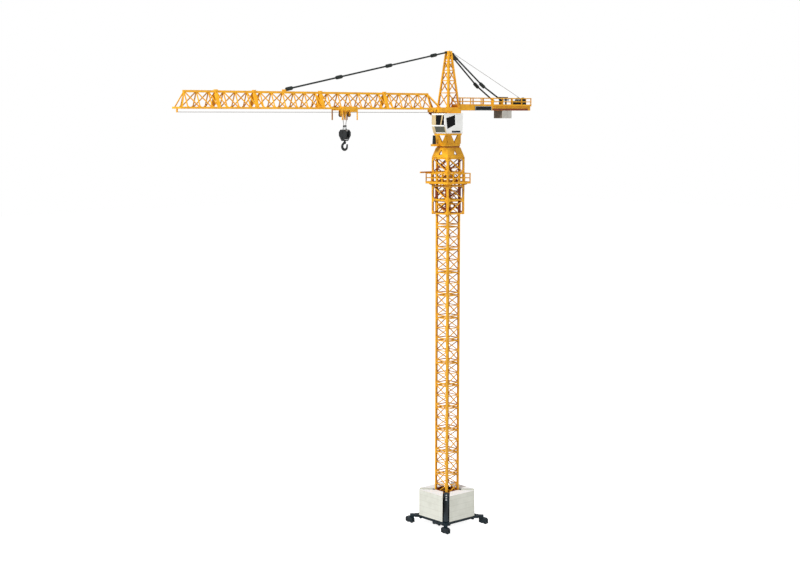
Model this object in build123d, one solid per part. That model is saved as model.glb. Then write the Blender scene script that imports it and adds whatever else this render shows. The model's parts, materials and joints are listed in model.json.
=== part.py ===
from build123d import *
import os

# Scale model of a saddle-jib tower crane, in millimetres
# Z is the tower axis, the ground is at z = 0 and the jib points along +X

# Undercarriage sizes
wheel_diameter = 7.0
wheel_width = 2.0
wheel_spacing = 8.4
bogie_length = 15.5
bogie_width = 6.4
bogie_ground_gap = 1.8
bogie_chamfer = 2.4
axle_half = 0.6
bogie_reach = 42.7
node_reach = 33.2
node_width = 10.0
beam_bottom = 10.4
beam_depth = 4.4
beam_width = 4.6
outrigger_width = 6.4
pad_length = 3.4
pad_height = 1.8
cross_beam_width = 6.0
bearer_reach = 19.5
strut_flange = 7.4
strut_depth = 5.6
strut_web = 1.4
strut_top_gap = 1.0
travel_motor_diameter = 4.4
travel_motor_length = 4.0
travel_motor_reach = 17.6
travel_motor_spacing = 12.0

# Central ballast sizes
ballast_height = 42.5
ballast_half_width = 36.0
ballast_length = 56.0
ballast_inner_reach = 16.2

# Tower sizes
leg_spacing = 25.0
leg_width = 3.0
brace_width = 1.25
rail_width = 1.5
foot_height = 34.1
foot_plate = 6.4
foot_plate_thickness = 2.0
lift_height = 36.8
lifts_per_section = 3
section_count = 5
joint_rail_offset = 2.2

# Climbing cage and walkway sizes
cage_spacing = 34.5
cage_post_width = 2.7
cage_height = 90.4
cage_bays = 4
cage_brace_width = 1.3
guide_width = 3.0
walkway_drop = 40.0
walkway_thickness = 1.4
walkway_half_width = 25.5
bracket_depth = 2.5
bracket_tip = 1.2
bracket_width = 2.2
rail_height = 15.6
handrail_width = 1.4
rail_posts_per_side = 4
insertion_beam_length = 66.0
insertion_beam_overhang = 16.5
insertion_beam_width = 2.4

# Slewing part sizes
support_drop = 2.0
support_height = 14.0
support_wall = 2.2
support_top_half = 13.8
support_window = 8.4
support_floor = 1.6
support_lid = 2.0
ring_half = 14.2
ring_chamfer = 3.0
ring_height = 1.8
slew_gap = 0.2
spigot_radius = 6.0
spigot_clearance = 0.3
spigot_depth = 6.0
platform_thickness = 4.0
platform_half = 14.8
crown_half = 14.2
crown_height = 49.0
crown_wall = 2.4
crown_post_width = 4.2
crown_band = 3.0
notch_rise = 16.0
notch_sill = 1.0
deck_depth = 8.0
deck_half_width = 13.0
deck_front = 33.0
deck_back = 15.6
deck_wall = 2.4
motor_radius = 2.9
motor_top_radius = 2.2
motor_height = 13.8
motor_x = 25.0
motor_y = -6.0
motor_bracket_width = 8.0
motor_bracket_step = 0.6

# Cab sizes
cab_front = 49.7
cab_back = 11.5
cab_inner = 15.4
cab_width = 29.8
cab_height = 30.0
cab_top_gap = 2.2
cab_wall = 1.2
cab_toe = 3.6
cab_kink_height = 11.5
glass_thickness = 0.7
window_margin = 1.6
cab_arm_width = 3.0
pane_margin = 0.6
seat_setback = 17.0
seat_height = 7.0
seat_back_height = 19.0
seat_half = 4.0
console_reach = 6.4
console_half = 1.4
console_height = 9.0

# Tower head sizes
head_height = 88.5
head_foot_half = 11.7
head_top_half = 3.1
head_leg_width = 2.6
head_cap_width = 8.4
head_cap_height = 5.0
head_panels = 5
head_panel_ratio = 0.84
head_brace_width = 1.3
head_pulley_radius = 3.4
head_pulley_drop = 3.2
head_slot = 2.6

# Jib sizes
jib_height = 22.4
jib_width = 19.0
jib_chord_width = 2.8
jib_top_chord_width = 3.2
jib_brace_width = 1.25
jib_post_width = 1.35
jib_bay = 19.7
jib_chord_drop = 2.0
jib_root_gap = 11.6
jib_length_1 = 89.7
jib_length_2 = 123.7
jib_length_3 = 118.5
jib_length_4 = 64.5
jib_length_5 = 53.0
jib_nose = 11.0
jib_frame_width = 2.4
jib_frame_leg = 2.6
root_bar_foot = 25.0
lug_height = 2.6
lug_length = 6.6
lug_gap = 0.6

# Stay sizes
stay_diameter = 2.5
coupling_diameter = 5.4
coupling_length = 10.5
stay_drop = 2.5
front_stay_reach = 320.0
rear_stay_reach = 110.0
rear_stay_half = 9.8
rear_stay_sag = 5.0
rear_coupling_share = 0.6
stay_pin_gap = 1.3
rear_pin_half = 2.4
rear_pin_drop = 2.0
anchor_width = 2.4
anchor_rise = 8.0

# Counter-jib sizes
counter_length = 178.0
girder_spacing = 17.6
girder_width = 2.4
girder_depth = 7.0
counter_cross_width = 2.4
counter_cross_pitch = 22.0
deck_plate = 1.2
machine_deck_start = 88.0
machine_deck_half = 12.6
counter_rail_height = 12.4
board_start = 49.0
board_length = 37.0
board_height = 7.0
board_thickness = 1.0
counterweight_start = 112.0
counterweight_length = 22.0
counterweight_width = 20.4
counterweight_height = 12.6
hanger_width = 2.0
hanger_rise = 23.0

# Hoist winch sizes
drum_x = -164.5
drum_radius = 4.6
drum_flange_radius = 6.2
drum_length = 13.0
drum_rise = 7.4
drum_flange = 1.0
drum_shaft_radius = 1.4
drum_shaft_overhang = 1.2
winch_cheek = 1.4
winch_gap = 0.5
winch_base_half = 7.0
winch_base_height = 1.0
winch_bearing_half = 2.4
winch_motor_radius = 3.6
winch_motor_length = 13.0
winch_motor_gap = 0.6
winch_foot_half = 2.4
gearbox_half = 4.0
gearbox_start = 5.4
gearbox_end = 9.0
gearbox_rise = 4.4
rope_diameter = 0.7
rope_slot = 2.4
rope_gap = 0.1

# Trolley and hook block sizes
trolley_x = 212.0
trolley_length = 30.0
trolley_plate = 1.3
trolley_plate_height = 7.0
trolley_step = 2.2
trolley_side_gap = 0.5
trolley_guard_drop = 12.0
trolley_guard_width = 1.6
trolley_spike = 12.0
trolley_spike_width = 3.4
trolley_lip = 0.7
trolley_lip_length = 3.0
trolley_cross_width = 2.4
sheave_ear_half = 1.8
sheave_ear = 1.0
running_gap = 0.3
sheave_radius = 3.2
sheave_width = 1.4
sheave_spacing = 16.4
sheave_groove = 0.5
sheave_pin_radius = 0.6
sheave_drop = 9.6
block_drop = 21.8
block_link = 4.6
block_cheek_width = 18.4
block_cheek_height = 17.0
block_cheek_thickness = 2.4
block_cheek_spacing = 7.6
block_yoke_height = 1.8
block_yoke_width = 4.0
block_yoke_thickness = 1.4
crosshead_rise = 3.0
crosshead_height = 4.0
crosshead_half = 3.4
fall_spread = 2.9
hook_drop = 2.6
hook_bowl_radius = 3.0
hook_outer_radius = 7.2
hook_thickness = 3.0
shank_radius = 1.2
shank_clearance = 0.2
nut_radius = 2.2
nut_height = 1.6

# Heights and places that follow from the sizes
beam_top = beam_bottom + beam_depth
tower_foot = beam_top + foot_height
section_height = lift_height * lifts_per_section
tower_top = tower_foot + section_height * section_count
leg_half = leg_spacing / 2
cage_top = tower_top - support_drop
cage_bottom = cage_top - cage_height
cage_half = cage_spacing / 2
cage_outer = cage_half + cage_post_width / 2
walkway_top = cage_top - walkway_drop
support_top = cage_top + support_height + support_drop
ring_top = support_top + ring_height
platform_bottom = ring_top + slew_gap
platform_top = platform_bottom + platform_thickness
deck_bottom = platform_top + crown_height
deck_top = deck_bottom + deck_depth
head_top = deck_top + head_height
stay_height = head_top - stay_drop
chord_z = deck_top - jib_chord_drop
top_chord_z = chord_z + jib_height
chord_y = jib_width / 2
jib_start = deck_front + jib_root_gap
jib_joint_1 = jib_start + jib_length_1
jib_joint_2 = jib_joint_1 + jib_length_2
jib_joint_3 = jib_joint_2 + jib_length_3
jib_joint_4 = jib_joint_3 + jib_length_4
jib_tip = jib_joint_4 + jib_length_5
girder_y = girder_spacing / 2
girder_top = deck_top + 2 * deck_plate
girder_bottom = girder_top - girder_depth
counter_floor = girder_top + deck_plate
drum_z = counter_floor + drum_rise
sheave_z = chord_z - sheave_drop
rope_z = sheave_z + sheave_radius + rope_diameter / 2 + running_gap
trolley_side = chord_y + jib_chord_width / 2 + trolley_side_gap
block_top = sheave_z - block_drop + block_link + block_yoke_height
cab_top = deck_bottom - cab_top_gap
cab_bottom = cab_top - cab_height
cab_outer = cab_inner + cab_width


# Shared building blocks
def block(x, y, z):
    """a box between two coordinates along each axis"""
    size = Box(x[1] - x[0], y[1] - y[0], z[1] - z[0])
    return Pos((x[0] + x[1]) / 2, (y[0] + y[1]) / 2, (z[0] + z[1]) / 2) * size


def bar(start, end, across, deep, side):
    """a straight bar of rectangular section, across being its size along side"""
    foot = Vector(*start)
    run = Vector(*end) - foot
    frame = Plane(origin=foot, x_dir=side, z_dir=run)
    return frame * Box(across, deep, run.length, align=(Align.CENTER, Align.CENTER, Align.MIN))


def rod(start, end, radius, sides=8):
    """a near-round bar between two points"""
    foot = Vector(*start)
    run = Vector(*end) - foot
    frame = Plane(origin=foot, z_dir=run)
    return frame * extrude(RegularPolygon(radius, sides), run.length)


def disc(radius, length, sides=12):
    """a many-sided disc centred on the origin, about the Z axis"""
    return extrude(RegularPolygon(radius, sides), length / 2, both=True)


def fused(pieces):
    """one shape from pieces that cross"""
    return Part() + pieces


def together(pieces):
    """several solids that share one file"""
    return Compound(children=[solid for piece in pieces for solid in piece.solids()])


def around(pieces):
    """copies of the pieces on the four sides of the tower axis"""
    return [Rot(0, 0, 90 * turn) * piece for turn in range(4) for piece in pieces]


def corners(half):
    """the four corner points of a square about the tower axis"""
    return [(half, half), (-half, half), (-half, -half), (half, -half)]


def prism(points, plane, length):
    """a solid with a polygon outline drawn on a plane"""
    return extrude(plane * Polygon(*points, align=None), length, dir=plane.z_dir)


# Undercarriage
def base_frame():
    """four edge beams, a cross under the tower, corner nodes and outriggers"""
    z = (beam_bottom, beam_top)
    reach = node_reach
    half = beam_width / 2
    side = [block((reach - half, reach + half), (-reach, reach), z)]
    side.append(block((bearer_reach - half, bearer_reach + half), (-bearer_reach, bearer_reach), z))
    middle = (beam_bottom + beam_top) / 2
    tip = bogie_reach
    side.append(bar((0, 0, middle), (reach, reach, middle), beam_depth, cross_beam_width, (0, 0, 1)))
    side.append(bar((reach, reach, middle), (tip, tip, middle), beam_depth, outrigger_width, (0, 0, 1)))
    node = Box(node_width, node_width, beam_depth)
    side.append(Pos(reach, reach, middle) * Rot(0, 0, 45) * node)
    pad = Box(beam_width, pad_length, pad_height, align=(Align.CENTER, Align.CENTER, Align.MAX))
    for end in (-1, 1):
        side.append(Pos(reach, end * (reach - node_width / 2 - pad_length / 2), beam_bottom) * pad)
    return fused(around(side))


def bogie(x, y):
    """two wheels between side plates, under the end of an outrigger"""
    top = beam_bottom
    half = bogie_length / 2
    frame = block((-bogie_width / 2, bogie_width / 2), (-half, half), (bogie_ground_gap, top))
    frame = chamfer(frame.edges().filter_by(Axis.X).group_by(Axis.Z)[-1], bogie_chamfer)
    slot = wheel_width / 2 + running_gap
    frame -= block((-slot, slot), (-half, half), (0, wheel_diameter + running_gap))
    wheels = []
    for end in (-0.5, 0.5):
        wheel = Rot(0, 90, 0) * disc(wheel_diameter / 2, wheel_width, 10)
        axle = block((-bogie_width / 2, bogie_width / 2), (-axle_half, axle_half), (-axle_half, axle_half))
        wheels.append(Pos(0, end * wheel_spacing, wheel_diameter / 2) * (wheel + axle))
    return Pos(x, y, 0) * fused([frame] + wheels)


def base_strut():
    """I-section strut on one diagonal, from a corner node up to a tower leg"""
    low_reach = node_reach
    high_reach = leg_half + leg_width / 2
    high_z = beam_top + ballast_height - strut_top_gap
    start = (low_reach, low_reach, beam_top - strut_depth)
    end = (high_reach, high_reach, high_z)
    side = (-1, 1, 0)
    web = bar(start, end, strut_web, strut_depth, side)
    offset = Vector(1, 1, 0).normalized() * (strut_depth / 2 - strut_web / 2)
    flanges = [
        Pos(sign * offset) * bar(start, end, strut_flange, strut_web, side) for sign in (-1, 1)
    ]
    strut = fused([web] + flanges)
    strut -= block((0, 2 * node_reach), (0, 2 * node_reach), (-beam_top, beam_top + 1))
    strut -= block((0, high_reach), (0, high_reach), (0, 2 * tower_foot))
    return strut


def travel_motors():
    """two geared motors that hang under one edge beam, beside a corner node"""
    motors = []
    for step in range(2):
        y = travel_motor_reach - step * travel_motor_spacing
        body = disc(travel_motor_diameter / 2, travel_motor_length)
        motors.append(Pos(node_reach, y, beam_bottom - travel_motor_length / 2) * body)
    return together(motors)


def ballast_stack():
    """one ballast block on the +X side, mitred where the struts pass"""
    outer = ballast_half_width
    inner = ballast_inner_reach
    outer_half = ballast_length / 2
    inner_half = outer_half - (outer - inner)
    outline = [(inner, -inner_half), (outer, -outer_half), (outer, outer_half), (inner, inner_half)]
    return prism(outline, Plane.XY.offset(beam_top), ballast_height)


# Tower
def tower_legs(bottom, top):
    """the four legs between two heights"""
    half = leg_width / 2
    return [
        block((x - half, x + half), (y - half, y + half), (bottom, top)) for x, y in corners(leg_half)
    ]


def lift_bracing(bottom):
    """foot rail and zigzag diagonal of one lift, on the +X face"""
    low = bottom + joint_rail_offset
    middle = bottom + lift_height / 2
    high = bottom + lift_height - joint_rail_offset
    h = leg_half
    side = (1, 0, 0)
    return [
        bar((h, -h, low), (h, h, low), rail_width, rail_width, side),
        bar((h, -h, low), (h, h, middle), brace_width, brace_width, side),
        bar((h, h, middle), (h, -h, high), brace_width, brace_width, side),
    ]


def tower_section():
    """a welded section of several lifts, standing on z = 0"""
    bracing = []
    for lift in range(lifts_per_section):
        bracing += lift_bracing(lift * lift_height)
    return fused(tower_legs(0, section_height) + around(bracing))


def tower_base():
    """legs and foot plates that stand on the cross, inside the ballast"""
    pieces = tower_legs(beam_top, tower_foot)
    half = foot_plate / 2
    for x, y in corners(leg_half):
        z = (beam_top, beam_top + foot_plate_thickness)
        pieces.append(block((x - half, x + half), (y - half, y + half), z))
    low = beam_top + foot_plate_thickness + joint_rail_offset
    high = tower_foot - joint_rail_offset
    h = leg_half
    side = (1, 0, 0)
    face = [
        bar((h, -h, low), (h, h, low), rail_width, rail_width, side),
        bar((h, -h, high), (h, h, high), rail_width, rail_width, side),
        bar((h, -h, low), (h, h, high), brace_width, brace_width, side),
    ]
    return fused(pieces + around(face))


# Climbing cage
def climbing_cage():
    """lattice cage round the top of the tower, with guide shoes on the tower legs"""
    h = cage_half
    half = cage_post_width / 2
    pieces = [
        block((x - half, x + half), (y - half, y + half), (cage_bottom, cage_top)) for x, y in corners(h)
    ]
    bay = (cage_height - 2 * half) / cage_bays
    side = (1, 0, 0)
    face = []
    for level in range(cage_bays + 1):
        z = cage_bottom + half + level * bay
        face.append(bar((h, -h, z), (h, h, z), cage_brace_width, cage_post_width * 0.8, side))
    for level in range(cage_bays):
        z = cage_bottom + half + level * bay
        lean = h if level % 2 else -h
        face.append(bar((h, lean, z), (h, -lean, z + bay), cage_brace_width, cage_brace_width, side))
    pieces += around(face)
    shoe_inner = leg_half + leg_width / 2 + running_gap
    for z in (cage_bottom + half, cage_bottom + half + 2 * bay):
        for place in (-leg_half, leg_half):
            y = (place - guide_width / 2, place + guide_width / 2)
            pieces += around([block((shoe_inner, h), y, (z - guide_width / 3, z + guide_width / 3))])
    return fused(pieces)


def walkway():
    """square deck ring round the cage, on brackets under its corners"""
    outer = walkway_half_width
    z = (walkway_top - walkway_thickness, walkway_top)
    plate = block((-outer, outer), (-outer, outer), z)
    plate -= block((-cage_outer, cage_outer), (-cage_outer, cage_outer), z)
    tip = outer - 1
    bracket_points = [
        (cage_outer, z[0] - bracket_depth), (cage_outer, z[0]), (tip, z[0]), (tip, z[0] - bracket_tip),
    ]
    bracket = prism(bracket_points, Plane.XZ, bracket_width)
    brackets = [Pos(0, y + bracket_width / 2, 0) * bracket for y in (-cage_half, cage_half)]
    return fused([plate] + around(brackets))


def railing_run(x, y_from, y_to, floor, height, posts):
    """posts and two rails along Y at one x"""
    w = handrail_width
    half = w / 2
    run = []
    for level in (floor + height / 2, floor + height - half):
        run.append(block((x - half, x + half), (y_from, y_to), (level - half, level + half)))
    for step in range(posts + 1):
        y = y_from + half + (y_to - y_from - w) * step / posts
        run.append(block((x - half, x + half), (y - half, y + half), (floor, floor + height)))
    return run


def walkway_railing():
    """railing on the four edges of the walkway"""
    edge = walkway_half_width - handrail_width / 2
    end = walkway_half_width
    run = railing_run(edge, -end, end, walkway_top, rail_height, rail_posts_per_side)
    return fused(around(run))


def insertion_beam():
    """beam on which new tower sections are brought in, on the railing of the -Y side"""
    half = insertion_beam_width / 2
    z = walkway_top + rail_height + half
    y = -(cage_outer + half)
    x_end = walkway_half_width + insertion_beam_overhang
    return block((x_end - insertion_beam_length, x_end), (y - half, y + half), (z - half, z + half))


# Slewing support and platform
def frustum(bottom_half, top_half, bottom, top):
    """a square solid that tapers upwards"""
    low = Plane.XY.offset(bottom) * Rectangle(2 * bottom_half, 2 * bottom_half)
    high = Plane.XY.offset(top) * Rectangle(2 * top_half, 2 * top_half)
    return loft([low, high])


def ring_support():
    """tapered box that widens from the slewing ring down to the cage"""
    outer = frustum(cage_outer, support_top_half, cage_top, support_top)
    inner = frustum(cage_outer - support_wall, support_top_half - support_wall, cage_top, support_top)
    seat_half = cage_outer - support_wall
    seat = frustum(seat_half, seat_half, tower_top, tower_top + support_floor)
    lid_z = support_top - support_lid
    lid = frustum(support_top_half, support_top_half, lid_z, support_top)
    shell = (outer - inner) + (seat & outer) + (lid & outer)
    well = Cylinder(
        spigot_radius + spigot_clearance, support_height * 2, align=(Align.CENTER, Align.CENTER, Align.MIN)
    )
    shell -= Pos(0, 0, tower_top - 1) * well
    half = support_window / 2
    low = tower_top + support_floor + 1
    opening = prism([(-half, low), (half, low), (0, low + support_window)], Plane.YZ, cage_outer * 2)
    for turn in range(4):
        shell -= Rot(0, 0, 90 * turn) * opening
    return shell


def slewing_ring():
    """fixed half of the slewing ring, bolted to the support"""
    ring = block((-ring_half, ring_half), (-ring_half, ring_half), (support_top, ring_top))
    ring = chamfer(ring.edges().filter_by(Axis.Z), ring_chamfer)
    well = Cylinder(spigot_radius + spigot_clearance, ring_height * 2)
    return ring - Pos(0, 0, ring_top - ring_height / 2) * well


def slew_platform():
    """platform plate with its centring spigot and the slewing gear's bracket"""
    half = platform_half
    plate = block((-half, half), (-half, half), (platform_bottom, platform_top))
    plate = chamfer(plate.edges().filter_by(Axis.Z), ring_chamfer)
    spigot = Cylinder(
        spigot_radius, spigot_depth + platform_thickness, align=(Align.CENTER, Align.CENTER, Align.MAX)
    )
    width = motor_bracket_width / 2
    tip = motor_x + motor_radius + 0.6
    z = (platform_bottom, platform_top - motor_bracket_step)
    bracket = block((half - 1, tip), (motor_y - width, motor_y + width), z)
    return fused([plate, Pos(0, 0, platform_top) * spigot, bracket])


def slew_motor():
    """upright motor on the platform's bracket"""
    body = Cone(
        motor_radius, motor_top_radius, motor_height, align=(Align.CENTER, Align.CENTER, Align.MIN)
    )
    return Pos(motor_x, motor_y, platform_top - motor_bracket_step) * body


def crown():
    """four tapered corner legs cut out of a square tube, between platform and deck"""
    z = (platform_top, deck_bottom)
    tube = block((-crown_half, crown_half), (-crown_half, crown_half), z)
    core = crown_half - crown_wall
    tube -= block((-core, core), (-core, core), z)
    side = crown_half - crown_post_width
    low = platform_top + notch_sill
    high = deck_bottom - crown_band
    points = [(0, low), (side, low + notch_rise), (side, high), (-side, high), (-side, low + notch_rise)]
    notch = prism(points, Plane.YZ, 2 * crown_half)
    for turn in range(4):
        tube -= Rot(0, 0, 90 * turn) * notch
    slot_z = (deck_bottom - rope_slot, deck_bottom)
    return tube - block((0, crown_half), (-rope_slot / 2, rope_slot / 2), slot_z)


def jib_deck():
    """tray-shaped deck that carries the head, the jib and the counter-jib"""
    y = (-deck_half_width, deck_half_width)
    deck = block((-deck_back, deck_front), y, (deck_bottom, deck_top))
    inner = deck_half_width - deck_wall
    pocket_z = (deck_bottom, deck_top - deck_wall)
    deck -= block((-deck_back + deck_wall, crown_half), (-inner, inner), pocket_z)
    deck -= block((crown_half + deck_wall, deck_front - deck_wall), (-inner, inner), pocket_z)
    slot = head_pulley_radius
    deck -= block((-slot, slot + 2), (-slot / 2, slot / 2), (deck_bottom, deck_top))
    slot_z = (deck_bottom, deck_bottom + rope_slot)
    return deck - block((0, deck_front), (-rope_slot / 2, rope_slot / 2), slot_z)


# Cab
def cab_profile(inset):
    """side outline of the cab as x and z points, moved inwards by inset"""
    kink = cab_bottom + cab_kink_height
    return [
        (cab_back + inset, cab_bottom + inset),
        (cab_front - cab_toe - inset, cab_bottom + inset),
        (cab_front - inset, kink),
        (cab_front - inset, cab_top - inset),
        (cab_back + inset, cab_top - inset),
    ]


def cab_slice(points, y_from, y_to):
    """a solid with a side outline between two y values"""
    return Pos(0, y_to, 0) * prism(points, Plane.XZ, y_to - y_from)


def side_window():
    """outline of the window beside the driver, as x and z points"""
    front = cab_front - 2.6
    back = cab_back + cab_width * 0.56
    high = cab_top - window_margin
    return [
        (front, high - 4.6), (back, high), (back - 0.8, high - 15), (front - 2.4, high - 21.4),
    ]


def cab_shell():
    """hollow cab with a wrap-down front window, a side window and a rear door opening left closed"""
    shell = cab_slice(cab_profile(0), cab_inner, cab_outer)
    shell -= cab_slice(cab_profile(cab_wall), cab_inner + cab_wall, cab_outer - cab_wall)
    y = (cab_inner + cab_wall + pane_margin, cab_outer - cab_wall - pane_margin)
    kink = cab_bottom + cab_kink_height
    x = (cab_front - cab_toe - 3 * cab_wall, cab_front + 1)
    shell -= block(x, y, (kink + 1.4, cab_top - window_margin))
    shell -= block(x, y, (cab_bottom + window_margin + 1, kink - 0.4))
    shell -= cab_slice(side_window(), cab_outer - 2 * cab_wall, cab_outer + 1)
    return shell


def cab_glass():
    """panes set inside the front and side window openings"""
    shell = cab_shell()
    y = (cab_inner + cab_wall, cab_outer - cab_wall)
    front = cab_slice(cab_profile(0.3), *y) - cab_slice(cab_profile(0.3 + glass_thickness), *y)
    kink = cab_bottom + cab_kink_height
    x = (cab_front - cab_toe - 3 * cab_wall, cab_front + 1)
    y_open = (y[0] + pane_margin, y[1] - pane_margin)
    upper = front & block(x, y_open, (kink + 1.4, cab_top - window_margin))
    lower = front & block(x, y_open, (cab_bottom + window_margin + 1, kink - 0.4))
    outside = cab_outer - 0.3
    side = cab_slice(side_window(), outside - glass_thickness, outside)
    return together([upper - shell, lower - shell, side - shell])


def cab_interior():
    """seat and console inside the cab, on its floor"""
    floor = cab_bottom + cab_wall
    middle = (cab_inner + cab_outer) / 2
    front = cab_front - seat_setback + seat_half
    rear = front - 2 * seat_half
    y = (middle - seat_half, middle + seat_half)
    base = block((rear - 1, front), y, (floor, floor + seat_height))
    back = block((rear - 3, rear), y, (floor, floor + seat_back_height))
    arms = []
    for side in (-console_reach, console_reach):
        y = (middle + side - console_half, middle + side + console_half)
        arms.append(block((rear, front + 2), y, (floor, floor + console_height)))
    return together([fused([base, back])] + arms)


def cab_support():
    """arm from the crown and a frame under the cab that it carries"""
    w = cab_arm_width
    z = (cab_bottom - w, cab_bottom)
    y_in = cab_inner + w / 2
    y_out = cab_outer - 4
    back = crown_half - crown_post_width
    front = cab_front - cab_toe - w / 2
    arm = block((back, crown_half), (crown_half, y_out), z)
    rails = [block((back, front), (y - w / 2, y + w / 2), z) for y in (y_in, y_out - w / 2)]
    front_rail = block((front - w, front), (y_in, y_out), z)
    return fused([arm, front_rail] + rails)


# Tower head
def head_half(z):
    """distance of the head's legs from the axis at a height"""
    share = (z - deck_top) / (head_height - head_cap_height)
    return head_foot_half + (head_top_half - head_foot_half) * share


def tower_head():
    """four-legged pyramid with shrinking lattice panels and a closed cap"""
    top = head_top - head_cap_height
    legs = [
        bar((*near, deck_top), (*far, top), head_leg_width, head_leg_width, (1, 0, 0))
        for near, far in zip(corners(head_foot_half), corners(head_half(top)))
    ]
    first = (top - deck_top) * (1 - head_panel_ratio) / (1 - head_panel_ratio ** head_panels)
    levels = [deck_top]
    for panel in range(head_panels):
        levels.append(levels[-1] + first * head_panel_ratio ** panel)
    face = []
    w = head_brace_width
    for index, (low, high) in enumerate(zip(levels, levels[1:])):
        a = head_half(low)
        b = head_half(high)
        lean = 1 if index % 2 else -1
        normal = (1, 0, 0)
        face.append(bar((b, -b, high), (b, b, high), w, w, normal))
        face.append(bar((a, -lean * a, low), (b, lean * b, high), w, w, normal))
    half = head_cap_width / 2
    cap = block((-half, half), (-half, half), (top - 1, head_top))
    cap -= block((-half, half), (-head_slot / 2, head_slot / 2), (top + 1, head_top))
    pulley = Pos(0, 0, head_top - head_pulley_drop) * Rot(90, 0, 0) * disc(head_pulley_radius, head_slot)
    below = 2 * head_foot_half
    foot = block((-below, below), (-below, below), (deck_top - below, deck_top))
    lattice = fused(legs + around(face)) - foot
    return fused([lattice, cap, pulley])


# Jib
def jib_posts(start, end, free_end):
    """places of the upright frames of one jib section"""
    inset = jib_top_chord_width / 2
    if free_end == "inner":
        count = int((end - start - inset) / jib_bay)
        return [start + inset + step * jib_bay for step in range(count + 1)]
    if free_end == "outer":
        count = int((end - start - inset) / jib_bay)
        return [end - inset - (count - step) * jib_bay for step in range(count + 1)]
    count = int((end - start) / jib_bay)
    margin = (end - start - (count - 1) * jib_bay) / 2
    return [start + margin + step * jib_bay for step in range(count)]


def jib_section(start, end, free_end, solid_frame=False):
    """triangular lattice with two bottom chords and one top chord"""
    y = chord_y
    top = top_chord_z
    chord_start = deck_front if free_end == "inner" else start
    chord_end = end + jib_nose if free_end == "outer" else end
    half = jib_chord_width / 2
    top_half = jib_top_chord_width / 2
    pieces = [block((start, end), (-top_half, top_half), (top - top_half, top + top_half))]
    chord_range = (chord_z - half, chord_z + half)
    for sign in (-1, 1):
        pieces.append(block((chord_start, chord_end), (sign * y - half, sign * y + half), chord_range))
    posts = jib_posts(start, end, free_end)
    for x in posts:
        pieces.append(bar((x, -y, chord_z), (x, y, chord_z), jib_post_width, jib_post_width, (1, 0, 0)))
        for sign in (-1, 1):
            post = bar((x, sign * y, chord_z), (x, 0, top), jib_post_width, jib_post_width, (1, 0, 0))
            pieces.append(post)
    for a, b in zip(posts, posts[1:]):
        w = jib_brace_width
        pieces.append(bar((a, y, chord_z), (b, 0, top), w, w, (0, jib_height, y)))
        pieces.append(bar((b, -y, chord_z), (a, 0, top), w, w, (0, jib_height, -y)))
    ends = []
    if free_end != "inner":
        ends.append((start, posts[0], 1))
    if free_end != "outer":
        ends.append((end, posts[-1], -1))
    for x, post, way in ends:
        pieces += jib_end_frame(x, way, solid_frame and way < 0)
        w = jib_brace_width
        near = (x + way, post) if way > 0 else (post, x + way)
        pieces.append(bar((near[0], y, chord_z), (near[1], 0, top), w, w, (0, jib_height, y)))
        pieces.append(bar((near[1], -y, chord_z), (near[0], 0, top), w, w, (0, jib_height, -y)))
    section = fused(pieces)
    if free_end == "inner":
        section = fused([section] + jib_root_bars())
    if free_end == "outer":
        section = fused([section] + jib_nose_bars(end))
    return section


def jib_end_frame(x, way, solid):
    """A-frame with a lug, where one section is pinned to the next"""
    depth = jib_frame_width
    inner = x if way > 0 else x - depth
    half = jib_frame_leg / 2
    y = chord_y
    run = jib_height
    pieces = []
    legs = Plane.YZ.offset(inner)
    for sign in (-1, 1):
        points = [
            (sign * (y - half), chord_z), (sign * (y + half * 0.4), chord_z),
            (sign * half, chord_z + run), (0, chord_z + run), (0, chord_z + run - 4),
        ]
        pieces.append(prism(points, legs, depth))
    if solid:
        points = [(-y + 2, chord_z), (y - 2, chord_z), (0, chord_z + run - 2)]
        pieces.append(prism(points, legs, depth))
    pieces.append(block((inner, inner + depth), (-y, y), (chord_z - 1, chord_z + 1)))
    lug_top = top_chord_z + jib_top_chord_width / 2 + lug_height / 2
    lug_width = jib_top_chord_width / 2 + 0.5
    pieces.append(block((inner, inner + depth), (-lug_width, lug_width), (top_chord_z, lug_top)))
    return pieces


def jib_root_bars():
    """two inclined bars from the top chord down to the deck"""
    x = jib_start + jib_top_chord_width / 2
    bars = []
    for sign in (-1, 1):
        start = (x, 0, top_chord_z)
        end = (root_bar_foot, sign * chord_y, deck_top - 2)
        bars.append(bar(start, end, jib_chord_width * 0.8, jib_chord_width * 0.8, (0, 1, 0)))
    below = block((0, deck_front), (-deck_half_width, deck_half_width), (deck_bottom, deck_top))
    return [piece - below for piece in bars]


def jib_nose_bars(end):
    """inclined bars and the cross-piece at the tip of the bottom chords"""
    x = end - jib_top_chord_width / 2
    tip = end + jib_nose
    bars = []
    for sign in (-1, 1):
        start = (x, 0, top_chord_z)
        foot = (tip - 3, sign * chord_y, chord_z)
        bars.append(bar(start, foot, jib_post_width, jib_post_width, (0, 1, 0)))
    half = jib_chord_width / 2
    bars.append(block((tip - 2, tip), (-chord_y, chord_y), (chord_z - half, chord_z + half)))
    return bars


def stay_lug():
    """lug on the top chord where the front stay is pinned"""
    top = top_chord_z + jib_top_chord_width / 2
    start = front_stay_reach + lug_gap
    return block((start, start + lug_length), (-0.8, 0.8), (top, top + lug_height))


# Stays
def tie_bar(points, couplings):
    """round tie with thicker couplings, each given by its centre and direction"""
    pieces = [rod(a, b, stay_diameter / 2) for a, b in zip(points, points[1:])]
    for centre, run in couplings:
        reach = run.normalized() * (coupling_length / 2)
        pieces.append(rod(tuple(centre - reach), tuple(centre + reach), coupling_diameter / 2))
    return fused(pieces)


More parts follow.
